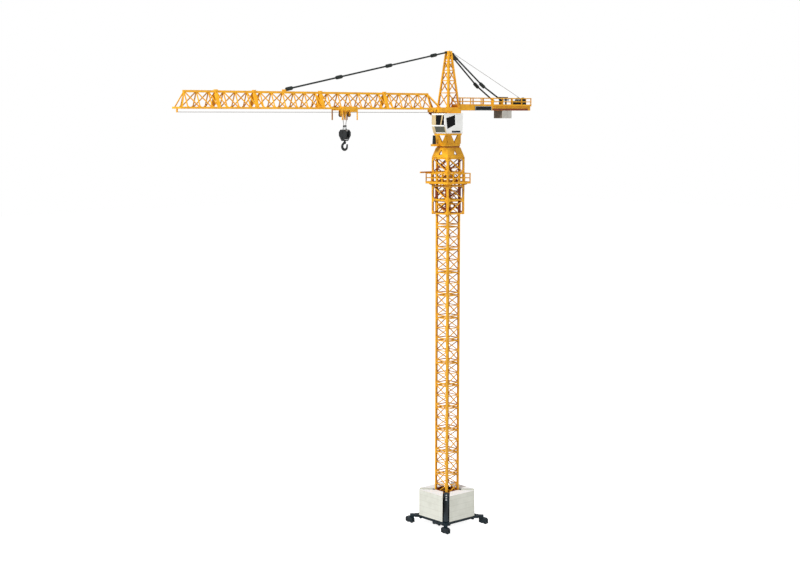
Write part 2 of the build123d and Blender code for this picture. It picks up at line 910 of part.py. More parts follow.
def front_stay():
    """tie from the tower head to the jib, with three couplings and an end fitting"""
    start = Vector(head_cap_width / 2 + stay_pin_gap, 0, stay_height)
    end_z = top_chord_z + (jib_top_chord_width + coupling_diameter) / 2 + lug_gap / 4
    end = Vector(front_stay_reach, 0, end_z)
    run = end - start
    places = [(start + run * share, run) for share in (0.085, 0.38, 0.69)]
    places.append((end - run.normalized() * (coupling_length / 2), run))
    return tie_bar([tuple(start), tuple(end)], places)


def rear_stay(sign):
    """two-piece tie from the head to the side of the counter-jib"""
    start = Vector(-head_cap_width / 2 - stay_pin_gap, sign * rear_pin_half, stay_height - rear_pin_drop)
    end = Vector(-rear_stay_reach, sign * rear_stay_half, counter_floor + anchor_rise)
    middle = start + (end - start) * rear_coupling_share - Vector(0, 0, rear_stay_sag)
    run = end - start
    return tie_bar([tuple(start), tuple(middle), tuple(end)], [(middle, run)])


def stay_anchors():
    """posts on the machinery deck that the rear stays are pinned to"""
    half = anchor_width / 2
    x = (-rear_stay_reach - half, -rear_stay_reach + half)
    z = (counter_floor - deck_plate, counter_floor + anchor_rise - stay_diameter / 2)
    return [block(x, (y - half, y + half), z) for y in (-rear_stay_half, rear_stay_half)]


# Counter-jib
def counter_frame():
    """two girders with cross members"""
    x = (-counter_length, -deck_back)
    pieces = []
    for sign in (-1, 1):
        centre = sign * girder_y
        y = (centre - girder_width / 2, centre + girder_width / 2)
        pieces.append(block(x, y, (girder_bottom, girder_top)))
    count = int((counter_length - deck_back) / counter_cross_pitch)
    for step in range(count + 1):
        middle = -deck_back - counter_cross_width / 2 - step * counter_cross_pitch
        span = (middle - counter_cross_width / 2, middle + counter_cross_width / 2)
        pieces.append(block(span, (-girder_y, girder_y), (girder_bottom + 1, girder_top - 1)))
    end = (-counter_length, -counter_length + counter_cross_width)
    pieces.append(block(end, (-girder_y, girder_y), (girder_bottom, girder_top)))
    return fused(pieces)


def counter_deck():
    """walkway plate between the railings and the wider machinery deck"""
    z = (girder_top, counter_floor)
    edge = girder_y + girder_width / 2
    front = block((-machine_deck_start, -deck_back - 0.2), (-edge, edge), z)
    rear = block((-counter_length, -machine_deck_start), (-machine_deck_half, machine_deck_half), z)
    deck = fused([front, rear] + stay_anchors())
    for x in hanger_places():
        half = hanger_width / 2 + running_gap
        deck -= block((x - half, x + half), (-half, half), z)
    return deck


def counter_railing():
    """railings on both sides and across the end"""
    edge = girder_y + girder_width / 2 - handrail_width / 2
    wide = machine_deck_half - handrail_width / 2
    floor = counter_floor
    bays = round((machine_deck_start - deck_back) / counter_cross_pitch)
    rear_bays = round((counter_length - machine_deck_start) / counter_cross_pitch)
    pieces = []
    for sign in (-1, 1):
        rise = counter_rail_height
        front = railing_run(-sign * edge, deck_back + 0.4, machine_deck_start, floor, rise, bays)
        rear = railing_run(-sign * wide, machine_deck_start, counter_length, floor, rise, rear_bays)
        pieces += [Rot(0, 0, 90) * piece for piece in front + rear]
        corner_y = sorted((sign * (edge - handrail_width / 2), sign * (wide + handrail_width / 2)))
        x = (-machine_deck_start - handrail_width, -machine_deck_start)
        for level in (floor + counter_rail_height / 2, floor + counter_rail_height - handrail_width / 2):
            half = handrail_width / 2
            pieces.append(block(x, corner_y, (level - half, level + half)))
    end_x = -counter_length + handrail_width / 2
    span = wide + handrail_width / 2
    pieces += railing_run(end_x, -span, span, floor, counter_rail_height, 2)
    return fused(pieces)


def name_board():
    """plain board on the outside of the near girder"""
    y = girder_y + girder_width / 2
    z = (girder_top - board_height, girder_top)
    return block((-board_start - board_length, -board_start), (y, y + board_thickness), z)


def hanger_places():
    """x of the two rods that hold the counterweight"""
    middle = -counterweight_start - counterweight_length / 2
    reach = counterweight_length * 0.32
    return (middle - reach, middle + reach)


def counterweight():
    """block that hangs under the machinery deck"""
    x = (-counterweight_start - counterweight_length, -counterweight_start)
    half = counterweight_width / 2
    top = girder_bottom
    body = block(x, (-half, half), (top - counterweight_height, top))
    body = chamfer(body.edges().filter_by(Axis.Z), 0.6)
    middle = (x[0] + x[1]) / 2
    split = block((middle - 0.2, middle + 0.2), (half - 0.4, half), (top - counterweight_height, top))
    return body - split


def counterweight_hanger():
    """beam on two rods that reach down through the deck to the counterweight"""
    half = hanger_width / 2
    top = counter_floor + hanger_rise - 9
    places = hanger_places()
    rods = [block((x - half, x + half), (-half, half), (girder_bottom, top)) for x in places]
    beam = block((min(places) - 4, max(places) + 4), (-half, half), (top - 1.8, top))
    return fused(rods + [beam])


# Hoist winch
def winch_frame():
    """base with two cheeks that hold the drum's shaft"""
    inner = drum_length / 2 + winch_gap
    outer = inner + winch_cheek
    front = drum_x + winch_base_half
    back = drum_x - winch_base_half
    base_top = counter_floor + winch_base_height
    base = block((back, front), (-outer, outer), (counter_floor, base_top))
    half = winch_bearing_half
    outline = [
        (back + 1, base_top), (front - 1, base_top),
        (drum_x + half, drum_z + half), (drum_x - half, drum_z + half),
    ]
    cheeks = []
    for y_to in (outer, -inner):
        cheek = Pos(0, y_to, 0) * prism(outline, Plane.XZ, winch_cheek)
        cheeks.append(cheek)
    frame = fused([base] + cheeks)
    bore = Cylinder(drum_shaft_radius + running_gap / 2, 3 * outer, rotation=(90, 0, 0))
    return frame - Pos(drum_x, 0, drum_z) * bore


def hoist_drum():
    """drum with flanges, on a shaft through both cheeks"""
    flange_place = (drum_length - drum_flange) / 2
    flange = disc(drum_flange_radius, drum_flange)
    flanges = [Pos(0, 0, side * flange_place) * flange for side in (-1, 1)]
    barrel = disc(drum_radius, drum_length - drum_flange)
    reach = drum_length / 2 + winch_gap + winch_cheek + drum_shaft_overhang
    shaft = Cylinder(drum_shaft_radius, 2 * reach)
    return Pos(drum_x, 0, drum_z) * Rot(90, 0, 0) * fused(flanges + [barrel, shaft])


def winch_motor():
    """motor and gearbox in front of the drum"""
    x = drum_x + winch_base_half + winch_motor_radius + winch_motor_gap
    z = counter_floor + winch_motor_radius + winch_motor_gap
    body = Pos(x, 0, z) * Cylinder(winch_motor_radius, winch_motor_length, rotation=(90, 0, 0))
    half = winch_foot_half
    feet = block((x - half, x + half), (-winch_motor_radius, winch_motor_radius), (counter_floor, z))
    half = gearbox_half
    box = block((x - half, x + half), (gearbox_start, gearbox_end), (counter_floor, z + gearbox_rise))
    return fused([body, feet, box])


def hoist_rope():
    """rope from the drum over the head pulley and down to the pulley under the deck"""
    r = rope_diameter / 2
    drum_top = (drum_x + 1.6, 0, drum_z + drum_radius + r + 2 * rope_gap)
    over_pulley = head_top - head_pulley_drop + head_pulley_radius + r + rope_gap
    head = (-head_pulley_radius * 0.4, 0, over_pulley)
    return rod(drum_top, head, r)


def jib_rope():
    """rope under the jib, from the crown out to the tip"""
    r = rope_diameter / 2
    return rod((0, 0, rope_z), (jib_tip + jib_nose - 2, 0, rope_z), r)


def rope_anchors():
    """bracket under the jib tip that holds the jib rope's end"""
    x_end = jib_tip + jib_nose
    z_top = chord_z - jib_chord_width / 2
    return block((x_end - 2, x_end), (-0.8, 0.8), (rope_z - 0.6, z_top + 0.4))


# Trolley
def trolley_frame():
    """side plates outside the chords, joined under the jib, with corner guards"""
    x0 = trolley_x - trolley_length / 2
    x1 = trolley_x + trolley_length / 2
    inner = trolley_side
    outer = inner + trolley_plate
    chord_top = chord_z + jib_chord_width / 2
    chord_bottom = chord_z - jib_chord_width / 2
    plate_top = chord_top + running_gap + 1.0
    plate_bottom = plate_top - trolley_plate_height - 1
    halves = (((x0, trolley_x), plate_bottom), ((trolley_x, x1), plate_bottom + trolley_step))
    pieces = []
    for sign in (-1, 1):
        y = sorted((sign * inner, sign * outer))
        for x, low in halves:
            pieces.append(block(x, y, (low, plate_top)))
        lip = sorted((sign * (inner - trolley_side_gap - trolley_lip), sign * outer))
        for x in (x0 + trolley_lip_length, x1 - 2 * trolley_lip_length):
            lip_x = (x, x + trolley_lip_length)
            pieces.append(block(lip_x, lip, (chord_top + running_gap, plate_top)))
        for x in (x0, x1 - trolley_guard_width):
            guard = (x, x + trolley_guard_width)
            pieces.append(block(guard, y, (plate_bottom - trolley_guard_drop, plate_bottom + 3)))
    cross_top = chord_bottom - running_gap
    w = trolley_cross_width
    for x, low in ((x0, plate_bottom), (trolley_x - w, plate_bottom), (x1 - w, plate_bottom + trolley_step)):
        pieces.append(block((x, x + w), (-outer, outer), (low, cross_top)))
    spike_half = trolley_spike_width / 2
    spike = [
        (trolley_x - spike_half, plate_bottom + 1), (trolley_x + spike_half, plate_bottom + 1),
        (trolley_x + 0.4, plate_bottom - trolley_spike), (trolley_x - 0.4, plate_bottom - trolley_spike),
    ]
    gap = sheave_width / 2 + running_gap
    for sign in (-1, 1):
        y = sorted((sign * gap, sign * (gap + sheave_ear)))
        pieces.append(Pos(0, y[1], 0) * prism(spike, Plane.XZ, sheave_ear))
        for x, low in halves:
            pieces.append(block(x, y, (low, cross_top)))
        for side in (-0.5, 0.5):
            centre = trolley_x + side * sheave_spacing
            ear_x = (centre - sheave_ear_half, centre + sheave_ear_half)
            pieces.append(block(ear_x, y, (sheave_z - sheave_ear_half, cross_top)))
    return fused(pieces)


def trolley_sheaves():
    """two grooved sheaves on pins between the ears"""
    gap = sheave_width / 2 + running_gap
    sheaves = []
    for side in (-0.5, 0.5):
        sheaves.append(Pos(trolley_x + side * sheave_spacing, 0, sheave_z) * sheave(sheave_radius, gap))
    return together(sheaves)


def sheave(radius, reach):
    """grooved disc with a pin, about the Y axis"""
    flange = sheave_width / 4
    half = (sheave_width - flange) / 2
    rims = [Pos(0, 0, side * half) * disc(radius, flange) for side in (-1, 1)]
    hub = disc(radius - sheave_groove, sheave_width - flange)
    pin = disc(sheave_pin_radius, 2 * reach, 6)
    return Rot(90, 0, 0) * fused(rims + [hub, pin])


def rope_falls():
    """two falls from the trolley's sheaves to the hook block's link"""
    r = rope_diameter / 2
    falls = []
    for side in (-1, 1):
        top = trolley_x + side * (sheave_spacing / 2 - sheave_radius - r - rope_gap)
        start = (top, 0, sheave_z)
        end = (trolley_x + side * (fall_spread - 1), 0, block_top + rope_gap)
        falls.append(rod(start, end, r))
    return together(falls)


# Hook block
def hook_block():
    """link, yoke and two shield-shaped cheeks on a crosshead"""
    link_half = block_link / 2
    link_bottom = block_top - block_link
    x = trolley_x
    link = block((x - fall_spread, x + fall_spread), (-2, 2), (link_bottom, block_top))
    cheek_top = link_bottom - block_yoke_height
    half = block_cheek_width / 2
    bottom = cheek_top - block_cheek_height
    outline = [
        (-half * 0.55, cheek_top), (half * 0.55, cheek_top), (half, cheek_top - block_cheek_height * 0.22),
        (half, cheek_top - block_cheek_height * 0.5), (half * 0.42, bottom), (-half * 0.42, bottom),
        (-half, cheek_top - block_cheek_height * 0.5), (-half, cheek_top - block_cheek_height * 0.22),
    ]
    cheeks = []
    yokes = []
    for side in (-0.5, 0.5):
        centre = x + side * block_cheek_spacing
        plane = Plane.YZ.offset(centre - block_cheek_thickness / 2)
        cheeks.append(prism(outline, plane, block_cheek_thickness))
        foot = (centre, 0, cheek_top - 1)
        top = (x + side * 3, 0, link_bottom + 1)
        yokes.append(bar(top, foot, block_yoke_width, block_yoke_thickness, (0, 1, 0)))
    head_z = crosshead_levels()
    spread = block_cheek_spacing / 2
    crosshead = block((x - spread, x + spread), (-crosshead_half, crosshead_half), head_z)
    body = fused([link] + yokes + cheeks + [crosshead])
    nut_room = Cylinder(nut_radius + shank_clearance, 3, align=(Align.CENTER, Align.CENTER, Align.MIN))
    body -= Pos(x, 0, head_z[0]) * Cylinder(shank_radius + shank_clearance, 2 * (head_z[1] - head_z[0]))
    return body - Pos(x, 0, head_z[1]) * nut_room


def crosshead_levels():
    """bottom and top of the crosshead"""
    bottom = block_top - block_link - block_yoke_height - block_cheek_height + crosshead_rise
    return bottom, bottom + crosshead_height


def hook():
    """single hook cut from plate, with a round shank and a nut above the crosshead"""
    low, high = crosshead_levels()
    cheek_bottom = low - crosshead_rise
    bowl_z = cheek_bottom - hook_drop - hook_outer_radius + 2
    outer = hook_outer_radius
    inner = hook_bowl_radius
    shank_z = cheek_bottom - bowl_z
    body = Circle(outer) - Circle(inner)
    mouth = [(-inner, 0), (outer * 0.35, 0), (outer * 0.35, outer), (-outer * 2, outer), (-outer, inner)]
    body -= Polygon(*mouth, align=None)
    neck = Polygon(
        (inner * 0.7, inner * 0.7), (-shank_radius, shank_z - 1.2), (-shank_radius, shank_z),
        (shank_radius, shank_z), (shank_radius + 0.5, shank_z - 1.6), (outer * 0.8, outer * 0.62),
        (outer * 0.9, 0), (inner + 0.4, 0),
        align=None,
    )
    outline = body + neck - Circle(inner)
    flat = extrude(Plane.XZ * outline, hook_thickness / 2, both=True)
    shank = Pos(0, 0, shank_z - 0.6) * Cylinder(
        shank_radius, high - cheek_bottom + 1.2, align=(Align.CENTER, Align.CENTER, Align.MIN)
    )
    nut = Pos(0, 0, high - bowl_z + running_gap) * Cylinder(
        nut_radius, nut_height, align=(Align.CENTER, Align.CENTER, Align.MIN)
    )
    return Pos(trolley_x, 0, bowl_z) * fused([flat, shank, nut])


# Assembly
def build_nodes():
    """every piece by the name of its file"""
    nodes = {"base_frame": base_frame()}
    nodes["bogies"] = together([bogie(x, y) for x, y in corners(bogie_reach)])
    strut = base_strut()
    stack = ballast_stack()
    nodes["base_struts"] = together(around([strut]))
    for turn, side in enumerate(("front", "left", "rear", "right")):
        nodes["ballast_" + side] = Rot(0, 0, 90 * turn) * stack
    nodes["travel_motors"] = travel_motors()
    nodes["tower_base"] = tower_base()
    section = tower_section()
    for number in range(section_count):
        nodes["tower_section_" + str(number + 1)] = Pos(0, 0, tower_foot + number * section_height) * section
    nodes["climbing_cage"] = climbing_cage()
    nodes["walkway"] = walkway()
    nodes["walkway_railing"] = walkway_railing()
    nodes["insertion_beam"] = insertion_beam()
    nodes["ring_support"] = ring_support()
    nodes["slewing_ring"] = slewing_ring()
    nodes["slew_platform"] = slew_platform()
    nodes["slew_motor"] = slew_motor()
    nodes["crown"] = crown()
    nodes["jib_deck"] = jib_deck()
    nodes["cab_shell"] = cab_shell()
    nodes["cab_glass"] = cab_glass()
    nodes["cab_interior"] = cab_interior()
    nodes["cab_support"] = cab_support()
    nodes["tower_head"] = tower_head()
    joints = (jib_start, jib_joint_1, jib_joint_2, jib_joint_3, jib_joint_4, jib_tip)
    for number, (start, end) in enumerate(zip(joints, joints[1:]), 1):
        free_end = {1: "inner", 5: "outer"}.get(number, "none")
        shape = jib_section(start, end, free_end, solid_frame=number == 2)
        if start < front_stay_reach < end:
            shape = fused([shape, stay_lug()])
        if free_end == "outer":
            shape = fused([shape, rope_anchors()])
        nodes["jib_section_" + str(number)] = shape
    nodes["front_stay"] = front_stay()
    nodes["rear_stays"] = together([rear_stay(1), rear_stay(-1)])
    nodes["counter_frame"] = counter_frame()
    nodes["counter_deck"] = counter_deck()
    nodes["counter_railing"] = counter_railing()
    nodes["name_board"] = name_board()
    nodes["counterweight"] = counterweight()
    nodes["counterweight_hanger"] = counterweight_hanger()
    nodes["winch_frame"] = winch_frame()
    nodes["hoist_drum"] = hoist_drum()
    nodes["winch_motor"] = winch_motor()
    nodes["hoist_rope"] = hoist_rope()
    nodes["jib_rope"] = jib_rope()
    nodes["trolley_frame"] = trolley_frame()
    nodes["trolley_sheaves"] = trolley_sheaves()
    nodes["rope_falls"] = rope_falls()
    nodes["hook_block"] = hook_block()
    nodes["hook"] = hook()
    return nodes


os.makedirs("parts", exist_ok=True)
for node_name, node_shape in build_nodes().items():
    export_step(node_shape, "parts/" + node_name + ".step")
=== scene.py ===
import itertools
import json
import math

import bmesh
import bpy
from mathutils import Matrix, Vector


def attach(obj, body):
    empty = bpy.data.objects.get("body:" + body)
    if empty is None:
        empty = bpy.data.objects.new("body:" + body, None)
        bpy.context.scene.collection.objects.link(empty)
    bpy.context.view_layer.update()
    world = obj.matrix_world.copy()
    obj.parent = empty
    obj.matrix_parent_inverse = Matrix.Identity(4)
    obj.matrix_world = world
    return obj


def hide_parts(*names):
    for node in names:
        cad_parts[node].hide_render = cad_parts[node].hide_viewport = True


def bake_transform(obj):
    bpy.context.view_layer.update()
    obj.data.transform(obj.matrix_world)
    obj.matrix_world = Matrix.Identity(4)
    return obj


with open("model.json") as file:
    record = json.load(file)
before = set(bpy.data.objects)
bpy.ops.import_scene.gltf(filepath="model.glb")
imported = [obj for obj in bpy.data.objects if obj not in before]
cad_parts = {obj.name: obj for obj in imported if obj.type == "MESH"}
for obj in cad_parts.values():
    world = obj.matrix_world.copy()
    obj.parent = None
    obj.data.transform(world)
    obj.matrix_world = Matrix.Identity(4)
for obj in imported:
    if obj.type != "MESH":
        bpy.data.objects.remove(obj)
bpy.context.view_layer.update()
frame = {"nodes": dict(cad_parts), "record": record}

bl_info = {
    "name": "Tower crane model",
    "version": (1, 0, 0),
    "blender": (4, 5, 0),
    "location": "3D View > Sidebar > Crane",
    "description": "Dresses the packed tower crane with its paint, finer bracing, cab fittings and ropes",
    "category": "Object",
}

# Sizes and places taken over from the construction, in millimetres

# Tower and undercarriage
LEG = 12.5
LEG_WIDTH = 3.0
BEAM_TOP = 14.8
BEAM_DEPTH = 4.4
NODE_REACH = 33.2
BOGIE_REACH = 42.7
WHEEL = 3.5
WHEEL_STEP = 4.2
BALLAST_TOP = 57.3
TOWER_FOOT = 48.9
LIFT = 36.8
LIFTS = 15
JOINT_DROP = 2.2

# Climbing cage and slewing ring
CAGE_HALF = 17.25
CAGE_BOTTOM = 508.5
CAGE_TOP = 598.9
CAGE_BAR = 2.7
CAGE_BAY = (CAGE_TOP - CAGE_BOTTOM - CAGE_BAR) / 4
WALKWAY = 558.9
WALKWAY_HALF = 25.5
RING_BOTTOM = 614.9
RING_TOP = 616.7

# Deck and tower head
DECK_BOTTOM = 669.9
DECK_TOP = 677.9
HEAD_TOP = 766.4
HEAD_CAP = 5.0
HEAD_AXLE = HEAD_TOP - 3.2
HEAD_PANELS = 5
HEAD_SHRINK = 0.84

# Jib, counter-jib and winch
CHORD_Z = 675.9
TOP_CHORD_Z = 698.3
CHORD_Y = 9.5
JIB_ENDS = (44.6, 134.3, 258.0, 376.5, 441.0, 494.0)
JIB_BAY = 19.7
GIRDER_TOP = 680.3
FLOOR = 681.5
COUNTER_END = 178.0
MACHINE_START = 88.0
DRUM = (-164.5, 0.0, 688.9)
MOTOR = (-153.3, 0.0, 685.7)

# Trolley, hook block and stays
TROLLEY_X = 212.0
SHEAVE_Z = 666.3
BLOCK_BOTTOM = 627.5
BOWL_Z = 619.7
STAY_X = 320.0
STAY_DROP = 2.5
ROD = 1.3

# Cab
CAB_BACK = 11.5
CAB_FRONT = 49.7
CAB_FACE = CAB_FRONT + 0.1
CAB_INNER = 15.4
CAB_OUTER = 45.2
CAB_BOTTOM = 637.7
CAB_KINK = 649.2
CAB_TOP = 667.7
CAB_SLOPE = 3.6
PANE_INNER = CAB_INNER + 6.4
PANE_OUTER = CAB_OUTER - 1.6

# Directions, and the angle in degrees from which an edge shows sharp
ALONG = (1, 0, 0)
ACROSS = (0, 1, 0)
UP = (0, 0, 1)
SHARP_FROM = 35.0


# Colour and node helpers
def linear(code):
    """linear colour, with full opacity, of an sRGB hex code"""
    channels = [int(code[i:i + 2], 16) / 255 for i in (1, 3, 5)]
    red, green, blue = (c / 12.92 if c <= 0.04045 else ((c + 0.055) / 1.055) ** 2.4 for c in channels)
    return red, green, blue, 1.0


WHITE = linear("#FFFFFF")


def per_mm(size):
    """texture scale for a pattern of that many millimetres, on object coordinates"""
    return 1000.0 / size


def add(tree, kind, inputs=(), **settings):
    """a node with its settings, each input given a value or linked from an output"""
    node = tree.nodes.new(kind)
    for key, value in settings.items():
        setattr(node, key, value)
    for name, value in dict(inputs).items():
        socket = node.inputs[name]
        if isinstance(value, bpy.types.NodeSocket):
            tree.links.new(value, socket)
        else:
            socket.default_value = value
    return node


def surface(name, colour, shade, patch, grain, relief, rough, specular=0.5, metal=0.0, coat=0.0, extra=None):
    """a finish whose colour drifts to a shade in patches, with a fine grain in gloss and relief"""
    material = bpy.data.materials.new(name)
    material.use_nodes = True
    tree = material.node_tree
    tree.nodes.clear()
    place = add(tree, "ShaderNodeTexCoord").outputs["Object"]
    patches = add(tree, "ShaderNodeTexNoise", {"Scale": per_mm(patch), "Detail": 3.0, "Vector": place})
    fine = add(tree, "ShaderNodeTexNoise", {"Scale": per_mm(grain), "Detail": 2.0, "Vector": place})
    height = fine.outputs["Fac"]
    drift = add(
        tree, "ShaderNodeMapRange", {"From Min": 0.4, "From Max": 0.75, "Value": patches.outputs["Fac"]},
    ).outputs["Result"]
    tint = add(tree, "ShaderNodeMix", {0: drift, 6: colour, 7: shade}, data_type="RGBA").outputs[2]
    gloss = add(
        tree, "ShaderNodeMapRange",
        {"From Min": 0.3, "From Max": 0.7, "To Min": rough[0], "To Max": rough[1], "Value": height},
    )
    if extra:
        tint, height = extra(tree, place, tint, height)
    bump = add(tree, "ShaderNodeBump", {"Strength": 0.6, "Distance": relief / 1000, "Height": height})
    shader = add(
        tree, "ShaderNodeBsdfPrincipled",
        {"Metallic": metal, "Coat Weight": coat, "Coat Roughness": 0.15, "Specular IOR Level": specular,
         "Base Color": tint, "Roughness": gloss.outputs["Result"], "Normal": bump.outputs["Normal"]},
    )
    add(tree, "ShaderNodeOutputMaterial", {"Surface": shader.outputs["BSDF"]})
    return material


# Patterns that some finishes add
def facing_parts(tree):
    """the outward direction of a face, on the object's own axes"""
    normal = add(tree, "ShaderNodeTexCoord").outputs["Normal"]
    return add(tree, "ShaderNodeSeparateXYZ", {"Vector": normal}).outputs


def cast_pits(tree, place, tint, height):
    """small dark pits where the paint sank into the casting"""
    pit_spacing = 3.0
    cells = add(tree, "ShaderNodeTexVoronoi", {"Scale": per_mm(pit_spacing), "Vector": place})
    share = add(
        tree, "ShaderNodeMapRange",
        {"From Min": 0.0, "From Max": 0.2, "To Min": 0.14, "To Max": 0.0,
         "Value": cells.outputs["Distance"]},
    ).outputs["Result"]
    pitted = add(tree, "ShaderNodeMix", {0: share, 6: tint, 7: linear("#B06A14")}, data_type="RGBA")
    return pitted.outputs[2], height


def painted_shade_inside(tree, place, tint, height):
    """orange-brown painted shade on the lattice's inner faces and undersides"""
    tower_reach = 0.03
    facing = facing_parts(tree)
    spot = add(tree, "ShaderNodeSeparateXYZ", {"Vector": place}).outputs
    across = add(tree, "ShaderNodeMath", {0: facing["Y"], 1: spot["Y"]}, operation="MULTIPLY").outputs[0]
    lengthwise = add(tree, "ShaderNodeMath", {0: facing["X"], 1: spot["X"]}, operation="MULTIPLY").outputs[0]
    away = add(tree, "ShaderNodeMath", {0: spot["X"]}, operation="ABSOLUTE").outputs[0]
    near = add(tree, "ShaderNodeMath", {0: away, 1: tower_reach}, operation="LESS_THAN").outputs[0]
    along = add(tree, "ShaderNodeMath", {0: lengthwise, 1: near}, operation="MULTIPLY").outputs[0]
    inward = add(tree, "ShaderNodeMath", {0: across, 1: along}, operation="ADD").outputs[0]
    inner = add(
        tree, "ShaderNodeMapRange",
        {"From Min": -0.002, "From Max": -0.008, "To Max": 0.7, "Value": inward},
    ).outputs["Result"]
    under = add(
        tree, "ShaderNodeMapRange",
        {"From Min": -0.35, "From Max": -0.75, "To Max": 0.6, "Value": facing["Z"]},
    ).outputs["Result"]
    share = add(tree, "ShaderNodeMath", {0: inner, 1: under}, operation="MAXIMUM").outputs[0]
    # painted shade: faces turned inwards or downwards drift to orange-brown
    painted_shade_tint = add(tree, "ShaderNodeMix", {0: share, 6: tint, 7: linear("#A4520F")}, data_type="RGBA")
    return cast_pits(tree, place, painted_shade_tint.outputs[2], height)


def painted_shade_ends(tree, place, tint, height):
    """painted shade on the counterweight's ends, the faces that point along x"""
    end = add(tree, "ShaderNodeMath", {0: facing_parts(tree)["X"]}, operation="ABSOLUTE").outputs[0]
    share = add(tree, "ShaderNodeMapRange", {"From Min": 0.7, "From Max": 0.9, "Value": end})
    # painted shade: faces along x drift to dark grey-brown
    shaded = add(
        tree, "ShaderNodeMix", {0: share.outputs["Result"], 6: tint, 7: linear("#787064")}, data_type="RGBA",
    )
    return shaded.outputs[2], height


def slab_joints(tree, place, tint, height):
    """thin dirt lines at the slabs' joints, a fine cement speckle and painted light that whitens the
    up-facing tops
    """
    slab = 0.0095
    first_joint = 0.0025
    line_width = 0.0006
    speck_spacing = 1.6
    level = add(tree, "ShaderNodeSeparateXYZ", {"Vector": place}).outputs["Z"]
    within = add(tree, "ShaderNodeMath", {0: level, 1: slab}, operation="MODULO").outputs[0]
    above = add(tree, "ShaderNodeMath", {0: within, 1: first_joint}, operation="SUBTRACT").outputs[0]
    away = add(tree, "ShaderNodeMath", {0: above}, operation="ABSOLUTE").outputs[0]
    line = add(
        tree, "ShaderNodeMapRange",
        {"From Min": 0.0, "From Max": line_width, "To Min": 0.25, "To Max": 0.0, "Value": away},
    ).outputs["Result"]
    lined = add(tree, "ShaderNodeMix", {0: line, 6: tint, 7: linear("#A9A594")}, data_type="RGBA").outputs[2]
    specks = add(tree, "ShaderNodeTexVoronoi", {"Scale": per_mm(speck_spacing), "Vector": place})
    dots = add(
        tree, "ShaderNodeMapRange",
        {"From Min": 0.05, "From Max": 0.18, "To Min": 0.25, "To Max": 0.0,
         "Value": specks.outputs["Distance"]},
    ).outputs["Result"]
    dotted = add(tree, "ShaderNodeMix", {0: dots, 6: lined, 7: linear("#B9B4A4")}, data_type="RGBA")
    # painted light: faces that point up are mixed to white
    normal = add(tree, "ShaderNodeNewGeometry").outputs["Normal"]
    up = add(tree, "ShaderNodeSeparateXYZ", {"Vector": normal}).outputs["Z"]
    top = add(tree, "ShaderNodeMapRange", {"From Min": 0.8, "From Max": 0.95, "Value": up})
    painted_light_tops = add(
        tree, "ShaderNodeMix", {0: top.outputs["Result"], 6: dotted.outputs[2], 7: WHITE}, data_type="RGBA",
    )
    return painted_light_tops.outputs[2], height


def lay_of_rope(tree, place, tint, height):
    """slanting strands across the rope, about 4 mm apart, coarser than the real lay so that they show"""
    wave_size = 6.28
    wave = add(
        tree, "ShaderNodeTexWave", {"Scale": per_mm(wave_size), "Distortion": 0.4, "Vector": place},
        bands_direction="DIAGONAL",
    ).outputs["Fac"]
    laid = add(tree, "ShaderNodeMix", {0: wave, 6: linear("#6C6A63"), 7: tint}, data_type="RGBA")
    return laid.outputs[2], wave


def drawn_rod(tree, place, tint, height):
    """worn bright flecks on blackened steel rod"""
    fleck_size = 1.2
    flecks = add(tree, "ShaderNodeTexNoise", {"Scale": per_mm(fleck_size), "Detail": 5.0, "Vector": place})
    worn = add(
        tree, "ShaderNodeMapRange",
        {"From Min": 0.66, "From Max": 0.78, "To Max": 0.5, "Value": flecks.outputs["Fac"]},
    ).outputs["Result"]
    flecked = add(tree, "ShaderNodeMix", {0: worn, 6: tint, 7: linear("#4A5250")}, data_type="RGBA")
    return flecked.outputs[2], height


